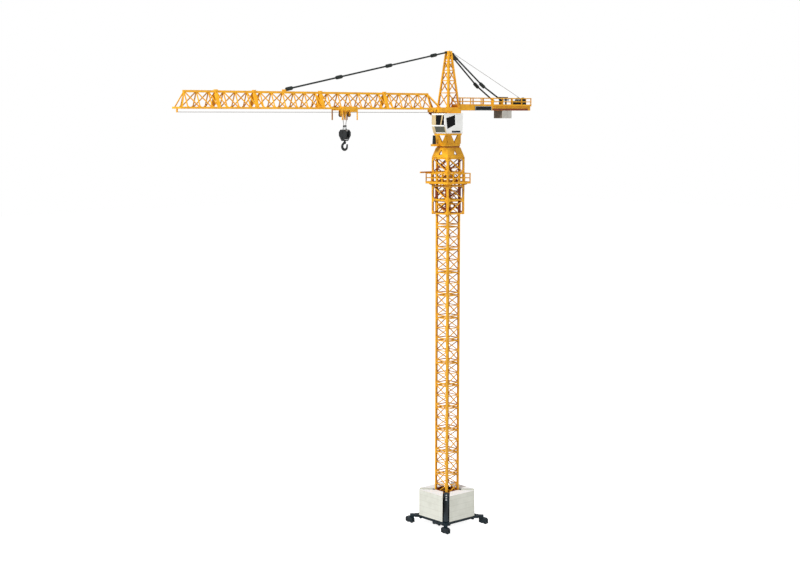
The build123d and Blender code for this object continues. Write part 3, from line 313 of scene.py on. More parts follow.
def make_finishes():
    """every finish by its slot, with sizes in millimetres"""
    paint = (*bpy.context.scene.crane_colours.paint, 1.0)
    made = {}
    # Sprayed enamel on a zinc casting: warm yellow and satin, with darker random patches that also serve as
    # painted shade on the lattice, and orange-brown painted shade on inner faces and undersides
    made["crane_yellow"] = surface(
        "sprayed_enamel_yellow", paint, linear("#DC981E"), patch=8.0, grain=0.7, relief=0.03,
        rough=(0.42, 0.55), specular=0.3, extra=painted_shade_inside,
    )
    # Dark enamel on the cast undercarriage: cold blue-grey with rubbed, lighter patches
    made["base_dark"] = surface(
        "sprayed_enamel_slate", linear("#0A151B"), linear("#16272F"), patch=9.0, grain=0.6, relief=0.04,
        rough=(0.45, 0.6), specular=0.2,
    )
    # Moulded styrene slabs in concrete colour: chalky, matt, faint joint lines, and painted light that
    # whitens their tops
    made["ballast_white"] = surface(
        "moulded_styrene_concrete", linear("#E6E7DC"), linear("#D9DACE"), patch=14.0, grain=0.5, relief=0.05,
        rough=(0.7, 0.85), extra=slab_joints,
    )
    # Blackened steel rod: dark green-grey with bright worn flecks
    made["stay_black"] = surface(
        "blackened_steel_rod", linear("#171D1C"), linear("#242C2A"), patch=6.0, grain=0.4, relief=0.02,
        rough=(0.42, 0.55), specular=0.2, extra=drawn_rod,
    )
    # Glossy moulded ABS of the cab: clean white with a soft mould texture
    made["cab_white"] = surface(
        "moulded_abs_white", linear("#F8F8F5"), linear("#EDEDE8"), patch=10.0, grain=0.4, relief=0.01,
        rough=(0.25, 0.35), coat=0.2,
    )
    # Smoked acrylic glazing: near black with a dim gloss
    made["cab_glass"] = surface(
        "smoked_acrylic", linear("#040506"), linear("#090B0C"), patch=12.0, grain=2.0, relief=0.004,
        rough=(0.12, 0.2), specular=0.1,
    )
    # Matt moulded plastic of the seat and consoles: warm cream
    made["cab_cream"] = surface(
        "moulded_plastic_cream", linear("#D2BE92"), linear("#B79F70"), patch=6.0, grain=0.4, relief=0.03,
        rough=(0.5, 0.65),
    )
    # Grey filled resin of the counterweight: mottled like stone, with painted shade on its ends
    made["counterweight_grey"] = surface(
        "filled_resin_grey", linear("#C6C3BB"), linear("#B8B5AC"), patch=14.0, grain=0.5, relief=0.06,
        rough=(0.65, 0.8), extra=painted_shade_ends,
    )
    # Twisted polyester cord: mid grey, the lay showing as slanting bands
    made["rope_grey"] = surface(
        "twisted_polyester_cord", linear("#96948C"), linear("#83817A"), patch=8.0, grain=0.3, relief=0.08,
        rough=(0.7, 0.85), extra=lay_of_rope,
    )
    # Dark grey enamel of the hook and its block: satin, nearly black
    made["block_dark"] = surface(
        "sprayed_enamel_graphite", linear("#1E2223"), linear("#121516"), patch=5.0, grain=0.4, relief=0.03,
        rough=(0.4, 0.55), specular=0.25,
    )
    # Moulded acetal of the trolley's sheaves and the head's pulley: brown-black, waxy
    made["sheave_dark"] = surface(
        "moulded_acetal_brown", linear("#3A241B"), linear("#21150F"), patch=4.0, grain=0.4, relief=0.01,
        rough=(0.35, 0.45),
    )
    # Enamelled sheet of the bare board: blue-black, smooth
    made["board_dark"] = surface(
        "enamelled_sheet_navy", linear("#0A131A"), linear("#111D26"), patch=12.0, grain=0.6, relief=0.01,
        rough=(0.4, 0.5), specular=0.15,
    )
    # Moulded plastic of motors, gearboxes and the block's sheaves: charcoal, dull
    made["winch_dark"] = surface(
        "moulded_plastic_charcoal", linear("#161B1C"), linear("#252B2C"), patch=5.0, grain=0.4, relief=0.03,
        rough=(0.45, 0.6), specular=0.2,
    )
    # Red-brown painted shade, standing for the yellow enamel in shadow, on clamps, guide frames, brackets,
    # the ring's skirt and the girders' bands
    made["ring_brown"] = surface(
        "red_brown_painted_shade", linear("#74300F"), linear("#934010"), patch=8.0, grain=0.6, relief=0.03,
        rough=(0.45, 0.6), specular=0.3,
    )
    # Tinted acrylic of the cab's lower pane: dark olive, shiny
    made["pane_olive"] = surface(
        "tinted_acrylic_olive", linear("#2B2F1C"), linear("#3B3F26"), patch=5.0, grain=1.0, relief=0.004,
        rough=(0.1, 0.2),
    )
    # Bright turned steel of the struts' pins and the block's links
    made["pin_steel"] = surface(
        "turned_steel", linear("#C9CBCB"), linear("#9C9FA0"), patch=2.0, grain=0.3, relief=0.01,
        rough=(0.22, 0.35), metal=1.0,
    )
    # Pale enamelled strip round the bare board
    made["border_pale"] = surface(
        "enamelled_sheet_pale", linear("#C8CCC9"), linear("#B4B8B4"), patch=6.0, grain=0.5, relief=0.01,
        rough=(0.35, 0.45),
    )
    return made


FINISHES = {}


# Mesh helpers, in millimetres
def add_hull(bm, rings):
    """closes a row of equal rings of points into one solid"""
    rows = [[bm.verts.new(point) for point in ring] for ring in rings]
    count = len(rows[0])
    for low, high in zip(rows, rows[1:]):
        for i in range(count):
            j = (i + 1) % count
            bm.faces.new((low[i], low[j], high[j], high[i]))
    bm.faces.new(rows[0][::-1])
    bm.faces.new(rows[-1])


def box(bm, low, high):
    """a box between two corners"""
    ring = [(low[0], low[1]), (high[0], low[1]), (high[0], high[1]), (low[0], high[1])]
    add_hull(bm, [[(x, y, z) for x, y in ring] for z in (low[2], high[2])])


def side_boxes(bm, x, y, z):
    """a box on each side of the middle, with its two places along x, outwards and up"""
    for side in (-1, 1):
        low, high = sorted((side * y[0], side * y[1]))
        box(bm, (x[0], low, z[0]), (x[1], high, z[1]))


def axes_along(run, side):
    """two unit vectors across a run, the first near side"""
    along = Vector(run).normalized()
    first = Vector(side) - along * along.dot(Vector(side))
    if first.length < 1e-6:
        first = along.orthogonal()
    first.normalize()
    return first, along.cross(first)


def bar(bm, start, end, across, deep, side=(0, 0, 1)):
    """a straight bar of rectangular section, across being its size along side"""
    a, b = Vector(start), Vector(end)
    u, v = axes_along(b - a, side)
    ring = [(-1, -1), (1, -1), (1, 1), (-1, 1)]
    add_hull(bm, [[p + u * (i * across / 2) + v * (j * deep / 2) for i, j in ring] for p in (a, b)])


def round_bar(bm, points, radii, sides=12):
    """a round bar along straight runs, with one radius a point"""
    points = [Vector(p) for p in points]
    rings = []
    u, v = axes_along(points[-1] - points[0], (0.31, 0.17, 0.93))
    for p, radius in zip(points, radii):
        turn = [2 * math.pi * i / sides for i in range(sides)]
        rings.append([p + (u * math.cos(t) + v * math.sin(t)) * radius for t in turn])
    add_hull(bm, rings)


def turned(bm, centre, axis, profile, sides):
    """a turned solid: profile holds places along the axis and radii there"""
    c, a = Vector(centre), Vector(axis).normalized()
    round_bar(bm, [c + a * s for s, r in profile], [r for s, r in profile], sides)


def bolt(bm, place, axis, radius, rise, sunk=0.0, sides=6):
    """a bolt's head or plain pin that stands out by rise and is let in by sunk"""
    turned(bm, place, axis, [(-sunk, radius), (rise, radius)], sides)


def cap(bm, place, axis, radii, levels, sides):
    """a stepped cap with two radii, and the levels of its foot, step and top"""
    (wide, narrow), (foot, step, top) = radii, levels
    turned(bm, place, axis, [(foot, wide), (step, wide), (step, narrow), (top, narrow)], sides)


def pin(bm, centre, axis, halves, radii, sides):
    """a pin with chamfered ends: half lengths without and with them, and radii of body and ends"""
    (flat, full), (body, end) = halves, radii
    turned(bm, centre, axis, [(-full, end), (-flat, body), (flat, body), (full, end)], sides)


def sheave(bm, centre, axis, halves, radii, sides):
    """a grooved wheel: half widths of wheel, groove and groove floor, and radii of rim and floor"""
    (wheel, lip, floor), (rim, low) = halves, radii
    profile = [(-wheel, rim), (-lip, rim), (-floor, low), (floor, low), (lip, rim), (wheel, rim)]
    turned(bm, centre, axis, profile, sides)


def plate(bm, outline, run):
    """a plate with an outline of points, made thick along run"""
    add_hull(bm, [[Vector(p) for p in outline], [Vector(p) + Vector(run) for p in outline]])


def four_fold(bm):
    """copies what the mesh holds to the four sides of the tower axis"""
    faces = list(bm.faces)
    for turn in (1, 2, 3):
        made = bmesh.ops.duplicate(bm, geom=list({v for f in faces for v in f.verts}) + faces)
        verts = [g for g in made["geom"] if isinstance(g, bmesh.types.BMVert)]
        bmesh.ops.rotate(bm, verts=verts, cent=(0, 0, 0), matrix=Matrix.Rotation(turn * math.pi / 2, 3, "Z"))


def to_object(name, bm, slot):
    """turns millimetres into an object in metres with a slot's finish"""
    bmesh.ops.recalc_face_normals(bm, faces=bm.faces)
    bmesh.ops.scale(bm, vec=(0.001, 0.001, 0.001), verts=bm.verts)
    mesh = bpy.data.meshes.new(name)
    bm.to_mesh(mesh)
    bm.free()
    mesh.shade_smooth()
    mesh.set_sharp_from_angle(angle=math.radians(SHARP_FROM))
    mesh.materials.append(FINISHES[slot])
    piece = bpy.data.objects.new(name, mesh)
    bpy.context.scene.collection.objects.link(piece)
    return piece


def settle(piece, body):
    """lets a finished piece ride on its body"""
    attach(piece, body)
    return piece


def make(name, bm, slot, body, bevel=0.0):
    """a finished piece on a body, its edges rounded by a bevel in millimetres"""
    piece = to_object(name, bm, slot)
    if bevel:
        rounder = piece.modifiers.new("edges", "BEVEL")
        rounder.width = bevel / 1000
        rounder.segments = 2
        rounder.limit_method = "ANGLE"
    return settle(piece, body)


# Geometry Nodes row of copies
def row_tree():
    """a tree that repeats its mesh along a line"""
    known = bpy.data.node_groups.get("row_of_copies")
    if known:
        return known
    tree = bpy.data.node_groups.new("row_of_copies", "GeometryNodeTree")
    face = tree.interface
    face.new_socket("Geometry", in_out="INPUT", socket_type="NodeSocketGeometry")
    face.new_socket("Count", in_out="INPUT", socket_type="NodeSocketInt")
    face.new_socket("Step", in_out="INPUT", socket_type="NodeSocketVector")
    face.new_socket("Finish", in_out="INPUT", socket_type="NodeSocketMaterial")
    face.new_socket("Geometry", in_out="OUTPUT", socket_type="NodeSocketGeometry")
    ins = add(tree, "NodeGroupInput").outputs
    line = add(tree, "GeometryNodeMeshLine", {"Count": ins["Count"], "Offset": ins["Step"]}, mode="OFFSET")
    places = {"Points": line.outputs["Mesh"], "Instance": ins["Geometry"]}
    copies = add(tree, "GeometryNodeInstanceOnPoints", places)
    real = add(tree, "GeometryNodeRealizeInstances", {"Geometry": copies.outputs["Instances"]})
    parts = {"Geometry": real.outputs["Geometry"], "Material": ins["Finish"]}
    dressed = add(tree, "GeometryNodeSetMaterial", parts)
    add(tree, "NodeGroupOutput", {"Geometry": dressed.outputs["Geometry"]})
    return tree


def socket_id(tree, name):
    """identifier of a tree's input"""
    for item in tree.interface.items_tree:
        if item.in_out == "INPUT" and item.name == name:
            return item.identifier
    raise KeyError(name)


def make_row(name, bm, slot, body, count, step):
    """a piece repeated along a line by the tree, turned into one plain mesh"""
    seed = to_object(name + "_seed", bm, slot)
    tree = row_tree()
    modifier = seed.modifiers.new("row", "NODES")
    modifier.node_group = tree
    modifier[socket_id(tree, "Count")] = count
    modifier[socket_id(tree, "Step")] = [s / 1000 for s in step]
    modifier[socket_id(tree, "Finish")] = FINISHES[slot]
    seed.update_tag()
    ready = seed.evaluated_get(bpy.context.evaluated_depsgraph_get())
    mesh = bpy.data.meshes.new_from_object(ready)
    mesh.name = name
    if not mesh.materials:
        mesh.materials.append(FINISHES[slot])
    seed.modifiers.clear()
    bpy.data.objects.remove(seed)
    piece = bpy.data.objects.new(name, mesh)
    bpy.context.scene.collection.objects.link(piece)
    return settle(piece, body)


# Settings that a user would change
class CraneColours(bpy.types.PropertyGroup):
    """Colours of the crane's finishes"""

    paint: bpy.props.FloatVectorProperty(
        name="Paint", description="Enamel of tower, jib and head", subtype="COLOR", size=3, min=0, max=1,
        default=linear("#F6B426")[:3],
    )


class CraneSizes(bpy.types.PropertyGroup):
    """Sizes of the crane's finer pieces"""

    rail: bpy.props.FloatProperty(
        name="Rail", description="Width of the tower's joint rails", default=0.0015, subtype="DISTANCE",
        unit="LENGTH",
    )
    brace: bpy.props.FloatProperty(
        name="Brace", description="Width of the finer bracing bars", default=0.0012, subtype="DISTANCE",
        unit="LENGTH",
    )
    gusset: bpy.props.FloatProperty(
        name="Gusset", description="Length of the plates where the bracing meets the legs", default=0.0026,
        subtype="DISTANCE", unit="LENGTH",
    )
    lifts: bpy.props.IntProperty(
        name="Lifts", description="Number of lifts in the tower's lattice", default=LIFTS, min=1,
    )


class CRANE_OT_finishes(bpy.types.Operator):
    """Makes every finish and gives it to the construction's own pieces"""

    bl_idname = "crane.finishes"
    bl_label = "Finishes"

    def execute(self, context):
        FINISHES.update(make_finishes())
        for entry in frame["record"]["subparts"]:
            piece = frame["nodes"][entry["node"]]
            piece.data.materials.clear()
            piece.data.materials.append(FINISHES[entry["material_slot"]])
        return {"FINISHED"}


# Tower
def tower_lift_fittings(sizes):
    """joint rails, middle rails, gussets and plan bracing of one lift, repeated up the tower"""
    rail, brace, reach = [size * 1000 for size in (sizes.rail, sizes.brace, sizes.gusset)]
    skin = LEG + 0.3
    thick = 0.6
    root_half, tip_half = 2.4, 0.7
    foot = TOWER_FOOT + JOINT_DROP
    high = TOWER_FOOT + LIFT - JOINT_DROP
    middle = TOWER_FOOT + LIFT / 2
    bm = bmesh.new()
    bar(bm, (LEG, -LEG, high), (LEG, LEG, high), rail, rail, ALONG)
    bar(bm, (LEG, -LEG, middle), (LEG, LEG, middle), brace, brace, ALONG)
    for y, z, way in ((LEG, middle, -1), (-LEG, high, 1), (-LEG, foot, 1)):
        base = y + way * LEG_WIDTH / 2
        tip = base + way * reach
        outline = [(base, z - root_half), (tip, z - tip_half), (tip, z + tip_half), (base, z + root_half)]
        plate(bm, [(skin, side, height) for side, height in outline], (thick, 0, 0))
    four_fold(bm)
    bar(bm, (LEG, -LEG, high), (-LEG, LEG, high), brace, brace)
    bar(bm, (LEG, LEG, middle), (-LEG, -LEG, middle), brace, brace)
    make_row("tower_lift_fittings", bm, "crane_yellow", "tower", sizes.lifts, (0, 0, LIFT))


def tower_foot_fittings(sizes):
    """diagonals of the tower's base and the bolts at its feet"""
    brace = sizes.brace * 1000
    low = BEAM_TOP + 4.2
    foot_plate = BEAM_TOP + 2
    bolt_reach = LEG + 2.2
    bm = bmesh.new()
    bar(bm, (LEG, LEG, low), (LEG, -LEG, TOWER_FOOT - JOINT_DROP), brace, brace, ALONG)
    for y in (-bolt_reach, bolt_reach):
        bolt(bm, (bolt_reach, y, foot_plate), UP, radius=0.7, rise=0.8)
    four_fold(bm)
    make("tower_foot_fittings", bm, "crane_yellow", "tower")


class CRANE_OT_tower(bpy.types.Operator):
    """Adds the tower's rails, plan bracing and gussets, and its base's diagonals and bolts"""

    bl_idname = "crane.tower"
    bl_label = "Tower bracing"

    def execute(self, context):
        tower_lift_fittings(context.scene.crane_sizes)
        tower_foot_fittings(context.scene.crane_sizes)
        return {"FINISHED"}


# Undercarriage
def wheel_places():
    """the centre of each wheel"""
    for sx, sy, end in itertools.product((-1, 1), (-1, 1), (-WHEEL_STEP, WHEEL_STEP)):
        yield sx * BOGIE_REACH, sy * BOGIE_REACH + end, WHEEL


def axle_caps():
    """stepped caps on both ends of the wheels' axles"""
    fork_half = 3.2
    bm = bmesh.new()
    for x, y, z in wheel_places():
        for side in (-1, 1):
            centre = (x + side * fork_half, y, z)
            cap(bm, centre, (side, 0, 0), radii=(1.4, 0.8), levels=(0, 0.35, 0.7), sides=16)
    make("axle_caps", bm, "base_dark", "tower")


def wheel_tyres():
    """the wheels' treads, with a flange on the outer side"""
    tread = 3.1
    bm = bmesh.new()
    for x, y, z in wheel_places():
        profile = [(-1.0, 2.9), (-0.7, tread), (0.5, tread), (0.6, WHEEL), (1.0, WHEEL)]
        turned(bm, (x, y, z), (x, 0, 0), profile, sides=28)
    make("wheel_tyres", bm, "base_dark", "tower")


def frame_bolts():
    """bolts on the frame's corner nodes and along its outer beams"""
    corner = 2.6
    beam_skin = NODE_REACH + 2.3
    spacing = 8
    bm = bmesh.new()
    for dx, dy in ((-corner, corner), (corner, -corner), (-corner, -corner), (corner, corner)):
        place = (NODE_REACH + dx, NODE_REACH + dy, BEAM_TOP)
        bolt(bm, place, UP, radius=0.8, rise=0.7, sunk=0.2)
    for step in range(-2, 3):
        place = (beam_skin, step * spacing, BEAM_TOP - BEAM_DEPTH / 2)
        bolt(bm, place, ALONG, radius=0.7, rise=0.5, sunk=0.2)
    four_fold(bm)
    make("frame_bolts", bm, "base_dark", "tower")


def strut_pins():
    """three stepped pins near the top of each corner strut"""
    strut_skin = 2.8
    start = Vector((NODE_REACH, NODE_REACH, BEAM_TOP - 5.6))
    end = Vector((14.0, 14.0, BALLAST_TOP - 1.0))
    out = Vector((1, 1, 0)).normalized()
    bm = bmesh.new()
    for share in (0.79, 0.86, 0.93):
        centre = start.lerp(end, share) + out * strut_skin
        cap(bm, centre, out, radii=(1.3, 0.6), levels=(-0.3, 0.3, 0.7), sides=14)
    four_fold(bm)
    make("strut_pins", bm, "pin_steel", "tower")


def strut_webs():
    """upright webs at the ballast's corners, behind the struts"""
    reach = 15.6
    wide, thick = 10.4, 0.8
    bm = bmesh.new()
    bar(bm, (reach, reach, BEAM_TOP), (reach, reach, BALLAST_TOP - 2.0), wide, thick, (-1, 1, 0))
    four_fold(bm)
    make("strut_webs", bm, "base_dark", "tower")


def travel_gear_case():
    """a gear case with three bosses under the front beam"""
    under = BEAM_TOP - BEAM_DEPTH
    inner, outer = 30.8, 35.4
    bm = bmesh.new()
    box(bm, (inner, 3.6, under - 3.0), (outer, 19.8, under + 0.4))
    for y in (6.6, 11.7, 16.8):
        centre = (inner, y, under - 1.4)
        cap(bm, centre, (-1, 0, 0), radii=(1.3, 0.7), levels=(-0.2, 0.6, 1.0), sides=16)
    make("travel_gear_case", bm, "base_dark", "tower", bevel=0.4)


def ballast_clamps():
    """thin clamps between the ballast's slabs and the tower's base"""
    inner, skin, outer = 14.6, 15.4, 16.1
    clamp_top = BALLAST_TOP + 0.6
    bm = bmesh.new()
    box(bm, (skin, -8.0, BEAM_TOP + 2.0), (outer, 8.0, clamp_top))
    box(bm, (inner, -1.2, BALLAST_TOP - 3.0), (skin, 1.2, clamp_top))
    four_fold(bm)
    # red-brown painted shade in the pit round the tower's base
    make("ballast_clamps", bm, "ring_brown", "tower", bevel=0.15)


def ballast_eyes():
    """stepped studs on the slabs' tops, for lifting"""
    reach, apart = 25.0, 13
    bm = bmesh.new()
    for y in (-apart, apart):
        centre = (reach, y, BALLAST_TOP - 0.2)
        cap(bm, centre, UP, radii=(1.5, 0.9), levels=(0, 0.4, 0.7), sides=14)
    four_fold(bm)
    make("ballast_eyes", bm, "ballast_white", "tower")


class CRANE_OT_undercarriage(bpy.types.Operator):
    """Adds caps, tyres, bolts, the struts' pins and webs, a gear case, and the ballast's clamps and eyes"""

    bl_idname = "crane.undercarriage"
    bl_label = "Undercarriage fittings"

    def execute(self, context):
        axle_caps()
        wheel_tyres()
        frame_bolts()
        strut_pins()
        strut_webs()
        travel_gear_case()
        ballast_clamps()
        ballast_eyes()
        return {"FINISHED"}


# Climbing cage
def cage_levels(count):
    """heights of the cage's rings, from the lowest up"""
    return [CAGE_BOTTOM + CAGE_BAR / 2 + level * CAGE_BAY for level in range(count)]


def cage_gussets():
    """corner plates above and below each ring, and a bolt on each corner"""
    skin = CAGE_HALF + 0.7
    thick = 0.7
    near, wide, high = 1.3, 6, 5
    bm = bmesh.new()
    for z in cage_levels(5):
        for y, way in ((-CAGE_HALF, 1), (CAGE_HALF, -1)):
            for tip in (z - high, z + high):
                if CAGE_BOTTOM < tip < CAGE_TOP:
                    outline = [(y + way * near, z), (y + way * wide, z), (y + way * near, tip)]
                    plate(bm, [(skin, side, height) for side, height in outline], (thick, 0, 0))
            bolt(bm, (CAGE_HALF + 1.3, y, z), ALONG, radius=0.8, rise=0.6)
    four_fold(bm)
    make("cage_gussets", bm, "crane_yellow", "tower")


def cage_shade_frames():
    """red-brown diagonals and upright plates inside the cage, put there as painted shade"""
    inside = CAGE_HALF - 2.2
    wide, deep = 0.9, 1.3
    gap = 1.5
    back, face = inside - 0.5, inside + 0.1
    top = WALKWAY - 5.0
    bm = bmesh.new()
    for z in cage_levels(4):
        start = (inside, -CAGE_HALF, z + gap)
        bar(bm, start, (inside, CAGE_HALF, z + CAGE_BAY - gap), wide, deep, ALONG)
        start = (inside, CAGE_HALF, z + gap)
        bar(bm, start, (inside, 0, z + CAGE_BAY / 2), wide, deep, ALONG)
    box(bm, (back, 9.4, CAGE_BOTTOM + 3.0), (face, 13.9, top))
    box(bm, (back, -13.9, CAGE_BOTTOM + 26.0), (face, -9.4, top))
    four_fold(bm)
    make("cage_shade_frames", bm, "ring_brown", "tower")


def walkway_toe_boards():
    """low boards along the walkway's edges"""
    edge = WALKWAY_HALF - 1.1
    bm = bmesh.new()
    box(bm, (edge + 0.2, -edge, WALKWAY), (edge + 0.8, edge, WALKWAY + 2.2))
    four_fold(bm)
    make("walkway_toe_boards", bm, "crane_yellow", "tower")


def walkway_tread():
    """raised dashes on the walkway's front side, three wide and repeated along it"""
    long, wide, high = 0.6, 1.0, 0.25
    start = -23.0
    bm = bmesh.new()
    for x in (19.6, 21.0, 22.4):
        box(bm, (x, start, WALKWAY), (x + long, start + wide, WALKWAY + high))
    make_row("walkway_tread_front", bm, "crane_yellow", "tower", count=23, step=(0, 2.0, 0))


def ring_skirt():
    """an eight-sided skirt round the slewing ring"""
    far, near = 14.3, 11.2
    outline = [(far, -near), (far, near), (near, far), (-near, far), (-far, near), (-far, -near)]
    outline += [(-near, -far), (near, -far)]
    bm = bmesh.new()
    add_hull(bm, [[(x, y, z) for x, y in outline] for z in (RING_BOTTOM + 0.1, RING_TOP - 0.1)])
    # red-brown painted shade on the skirt under the deck
    make("ring_skirt", bm, "ring_brown", "tower")


class CRANE_OT_cage(bpy.types.Operator):
    """Adds the cage's gussets and its dark frames of painted shade, the walkway's boards and tread, and the
    ring's skirt
    """

    bl_idname = "crane.cage"
    bl_label = "Climbing cage fittings"

    def execute(self, context):
        cage_gussets()
        cage_shade_frames()
        walkway_toe_boards()
        walkway_tread()
        ring_skirt()
        return {"FINISHED"}


# Tower head
def head_gussets():
    """plates where the head's rails meet its legs, and its foot plates with bolts"""
    rise = HEAD_TOP - HEAD_CAP - DECK_TOP
    first = rise * (1 - HEAD_SHRINK) / (1 - HEAD_SHRINK ** HEAD_PANELS)
    foot_half, taper = 11.7, 8.6
    half, wide = 2.6, 3
    skin, thick = 1.0, 0.6
    foot_plate = DECK_TOP + 1.2
    high = DECK_TOP
    bm = bmesh.new()
    for panel in range(HEAD_PANELS):
        high += first * HEAD_SHRINK ** panel
        reach = foot_half - taper * (high - DECK_TOP) / rise
        for y, way in ((-reach, 1), (reach, -1)):
            outline = [(y, high - half), (y + way * wide, high), (y, high + half)]
            plate(bm, [(reach + skin, side, height) for side, height in outline], (thick, 0, 0))
    box(bm, (8.6, 8.6, DECK_TOP), (14.2, 12.9, foot_plate))
    for x in (10.2, 13.2):
        bolt(bm, (x, 10.0, foot_plate), UP, radius=0.6, rise=0.7)
    four_fold(bm)
    make("head_gussets", bm, "crane_yellow", "upper")


def head_pulley():
    """the pulley that guides the hoist rope over the head"""
    bm = bmesh.new()
    sheave(bm, (0, 0, HEAD_AXLE), ACROSS, halves=(1.2, 0.7, 0.3), radii=(3.5, 3.4), sides=32)
    make("head_pulley", bm, "sheave_dark", "upper")


def head_forks():
    """the pulley's pin and the forks that hold the stays"""
    front, back = 4.1, -4.1
    fork_half = 1.4
    bm = bmesh.new()
    pin(bm, (0, 0, HEAD_AXLE), ACROSS, halves=(4.3, 4.5), radii=(1.0, 0.7), sides=16)
    box(bm, (front, -1.3, HEAD_TOP - 4.4), (7.6, 1.3, HEAD_TOP - 0.8))
    for y in (-2.4, 2.4):
        box(bm, (-8.4, y - fork_half, HEAD_TOP - 7.2), (back, y + fork_half, HEAD_TOP - 2.8))
    make("head_forks", bm, "stay_black", "upper", bevel=0.3)


class CRANE_OT_head(bpy.types.Operator):
    """Adds the head's gussets and foot plates, its pulley, and its pin and forks"""

    bl_idname = "crane.head"
    bl_label = "Tower head fittings"

    def execute(self, context):
        head_gussets()
        head_pulley()
        head_forks()
        return {"FINISHED"}


# Jib
def post_places(start, end, number):
    """places of a jib section's upright frames, as the construction sets them"""
    inset = 1.6
    last = len(JIB_ENDS) - 2
    if number == 0:
        return [start + inset + i * JIB_BAY for i in range(int((end - start - inset) / JIB_BAY) + 1)]
    if number == last:
        count = int((end - start - inset) / JIB_BAY)
        return [end - inset - (count - i) * JIB_BAY for i in range(count + 1)]
    count = int((end - start) / JIB_BAY)
    margin = (end - start - (count - 1) * JIB_BAY) / 2
    return [start + margin + i * JIB_BAY for i in range(count)]


def jib_node_plates():
    """plates at the foot of each upright frame, one piece a section"""
    skin, thick = 0.9, 0.6
    root_half, root_rise = 1.8, 1.2
    tip_half, tip_rise = 0.9, 2.8
    for number, (start, end) in enumerate(zip(JIB_ENDS, JIB_ENDS[1:])):
        places = post_places(start, end, number)
        first = places[0]
        bm = bmesh.new()
        for side in (-1, 1):
            root = (side * (CHORD_Y + skin), CHORD_Z + root_rise)
            tip = (side * CHORD_Y, CHORD_Z + tip_rise)
            outline = [(first - root_half, *root), (first + root_half, *root)]
            outline += [(first + tip_half, *tip), (first - tip_half, *tip)]
            plate(bm, outline, (0, -side * thick, 0))
        name = "jib_node_plates_%d" % (number + 1)
        make_row(name, bm, "crane_yellow", "upper", len(places), (JIB_BAY, 0, 0))


def jib_joint_pins():
    """pins through the chords where two jib sections meet"""
    profile = [(0, 0.9), (0.6, 0.9), (0.8, 0.6)]
    bm = bmesh.new()
    for x in JIB_ENDS[1:-1]:
        for y, z in ((CHORD_Y + 1.3, CHORD_Z), (1.5, TOP_CHORD_Z)):
            for side in (-1, 1):
                turned(bm, (x, side * y, z), (0, side, 0), profile, sides=12)
    make("jib_joint_pins", bm, "crane_yellow", "upper")


def deck_brackets():
    """stepped brackets under the deck, where the jib begins"""
    step = DECK_BOTTOM - 2.6
    bm = bmesh.new()
    side_boxes(bm, (19.0, 31.0), (8.6, 12.6), (step, DECK_BOTTOM))
    side_boxes(bm, (24.0, 28.0), (8.6, 12.6), (DECK_BOTTOM - 4.2, step))
    # red-brown painted shade on the brackets under the deck
    make("deck_brackets", bm, "ring_brown", "upper", bevel=0.3)


class CRANE_OT_jib(bpy.types.Operator):
    """Adds the jib's node plates, joint pins and the brackets under its deck"""

    bl_idname = "crane.jib"
    bl_label = "Jib fittings"

    def execute(self, context):
        jib_node_plates()
        jib_joint_pins()
        deck_brackets()
        return {"FINISHED"}


# Cab
def cab_roof():
    """a thin roof that stands out over the cab's walls"""
    low = (CAB_BACK - 0.6, CAB_INNER - 0.4, CAB_TOP - 0.2)
    high = (CAB_FRONT + 0.6, CAB_OUTER + 0.3, CAB_TOP + 0.9)
    bm = bmesh.new()
    box(bm, low, high)
    make("cab_roof", bm, "cab_white", "upper", bevel=0.3)


def cab_window_frames():
    """frames at the top, the outer side and the foot of the front window"""
    skin = CAB_FACE + 0.2
    thick = 0.6
    side_y = CAB_OUTER - 0.7
    top_z = CAB_TOP - 0.9
    foot_z = CAB_KINK + 0.4
    bm = bmesh.new()
    bar(bm, (skin, side_y, CAB_KINK), (skin, side_y, CAB_TOP - 0.6), thick, 1.4, ALONG)
    bar(bm, (skin, CAB_INNER, top_z), (skin, CAB_OUTER, top_z), thick, 1.6, ALONG)
    bar(bm, (skin, CAB_INNER, foot_z), (skin, CAB_OUTER, foot_z), thick, 2.0, ALONG)
    make("cab_window_frames", bm, "cab_white", "upper", bevel=0.1)


def cab_front_strips():
    """cream strips on the front window, where the inside shows through, and beside the lower pane"""
    skin = (0.3, 0, 0)
    low, high = CAB_KINK + 1.0, CAB_TOP - 1.2
    foot_x = CAB_FRONT - CAB_SLOPE + 0.2
    foot_z = CAB_BOTTOM + 0.3
    bm = bmesh.new()
    box(bm, (CAB_FACE, CAB_INNER + 0.1, CAB_KINK + 0.5), (CAB_FACE + 0.35, CAB_INNER + 9.4, CAB_TOP - 1.0))
    outline = [(34.6, low), (37.0, low), (41.2, high), (38.6, high)]
    plate(bm, [(CAB_FACE, y, z) for y, z in outline], skin)
    for near, far in ((CAB_INNER + 0.1, PANE_INNER), (PANE_OUTER, CAB_OUTER - 0.1)):
        outline = [(foot_x, near, foot_z), (foot_x, far, foot_z)]
        outline += [(CAB_FACE, far, CAB_KINK), (CAB_FACE, near, CAB_KINK)]
        plate(bm, outline, skin)
    make("cab_front_strips", bm, "cab_cream", "upper")


def cab_lower_pane():
    """the slanting pane below the front window"""
    foot_x = CAB_FRONT - CAB_SLOPE + 0.5
    foot_z = CAB_BOTTOM + 1.6
    head_x = CAB_FACE - 0.2
    head_z = CAB_KINK - 0.8
    outline = [(foot_x, PANE_INNER, foot_z), (foot_x, PANE_OUTER, foot_z)]
    outline += [(head_x, PANE_OUTER, head_z), (head_x, PANE_INNER, head_z)]
    bm = bmesh.new()
    plate(bm, outline, (0.3, 0, 0))
    make("cab_lower_pane", bm, "pane_olive", "upper")


def cab_side_strip():
    """a plain dark strip on the cab's outer side"""
    bm = bmesh.new()
    box(bm, (17.0, CAB_OUTER - 0.1, CAB_BOTTOM + 1.4), (35.0, CAB_OUTER + 0.3, CAB_BOTTOM + 4.0))
    make("cab_side_strip", bm, "base_dark", "upper", bevel=0.1)


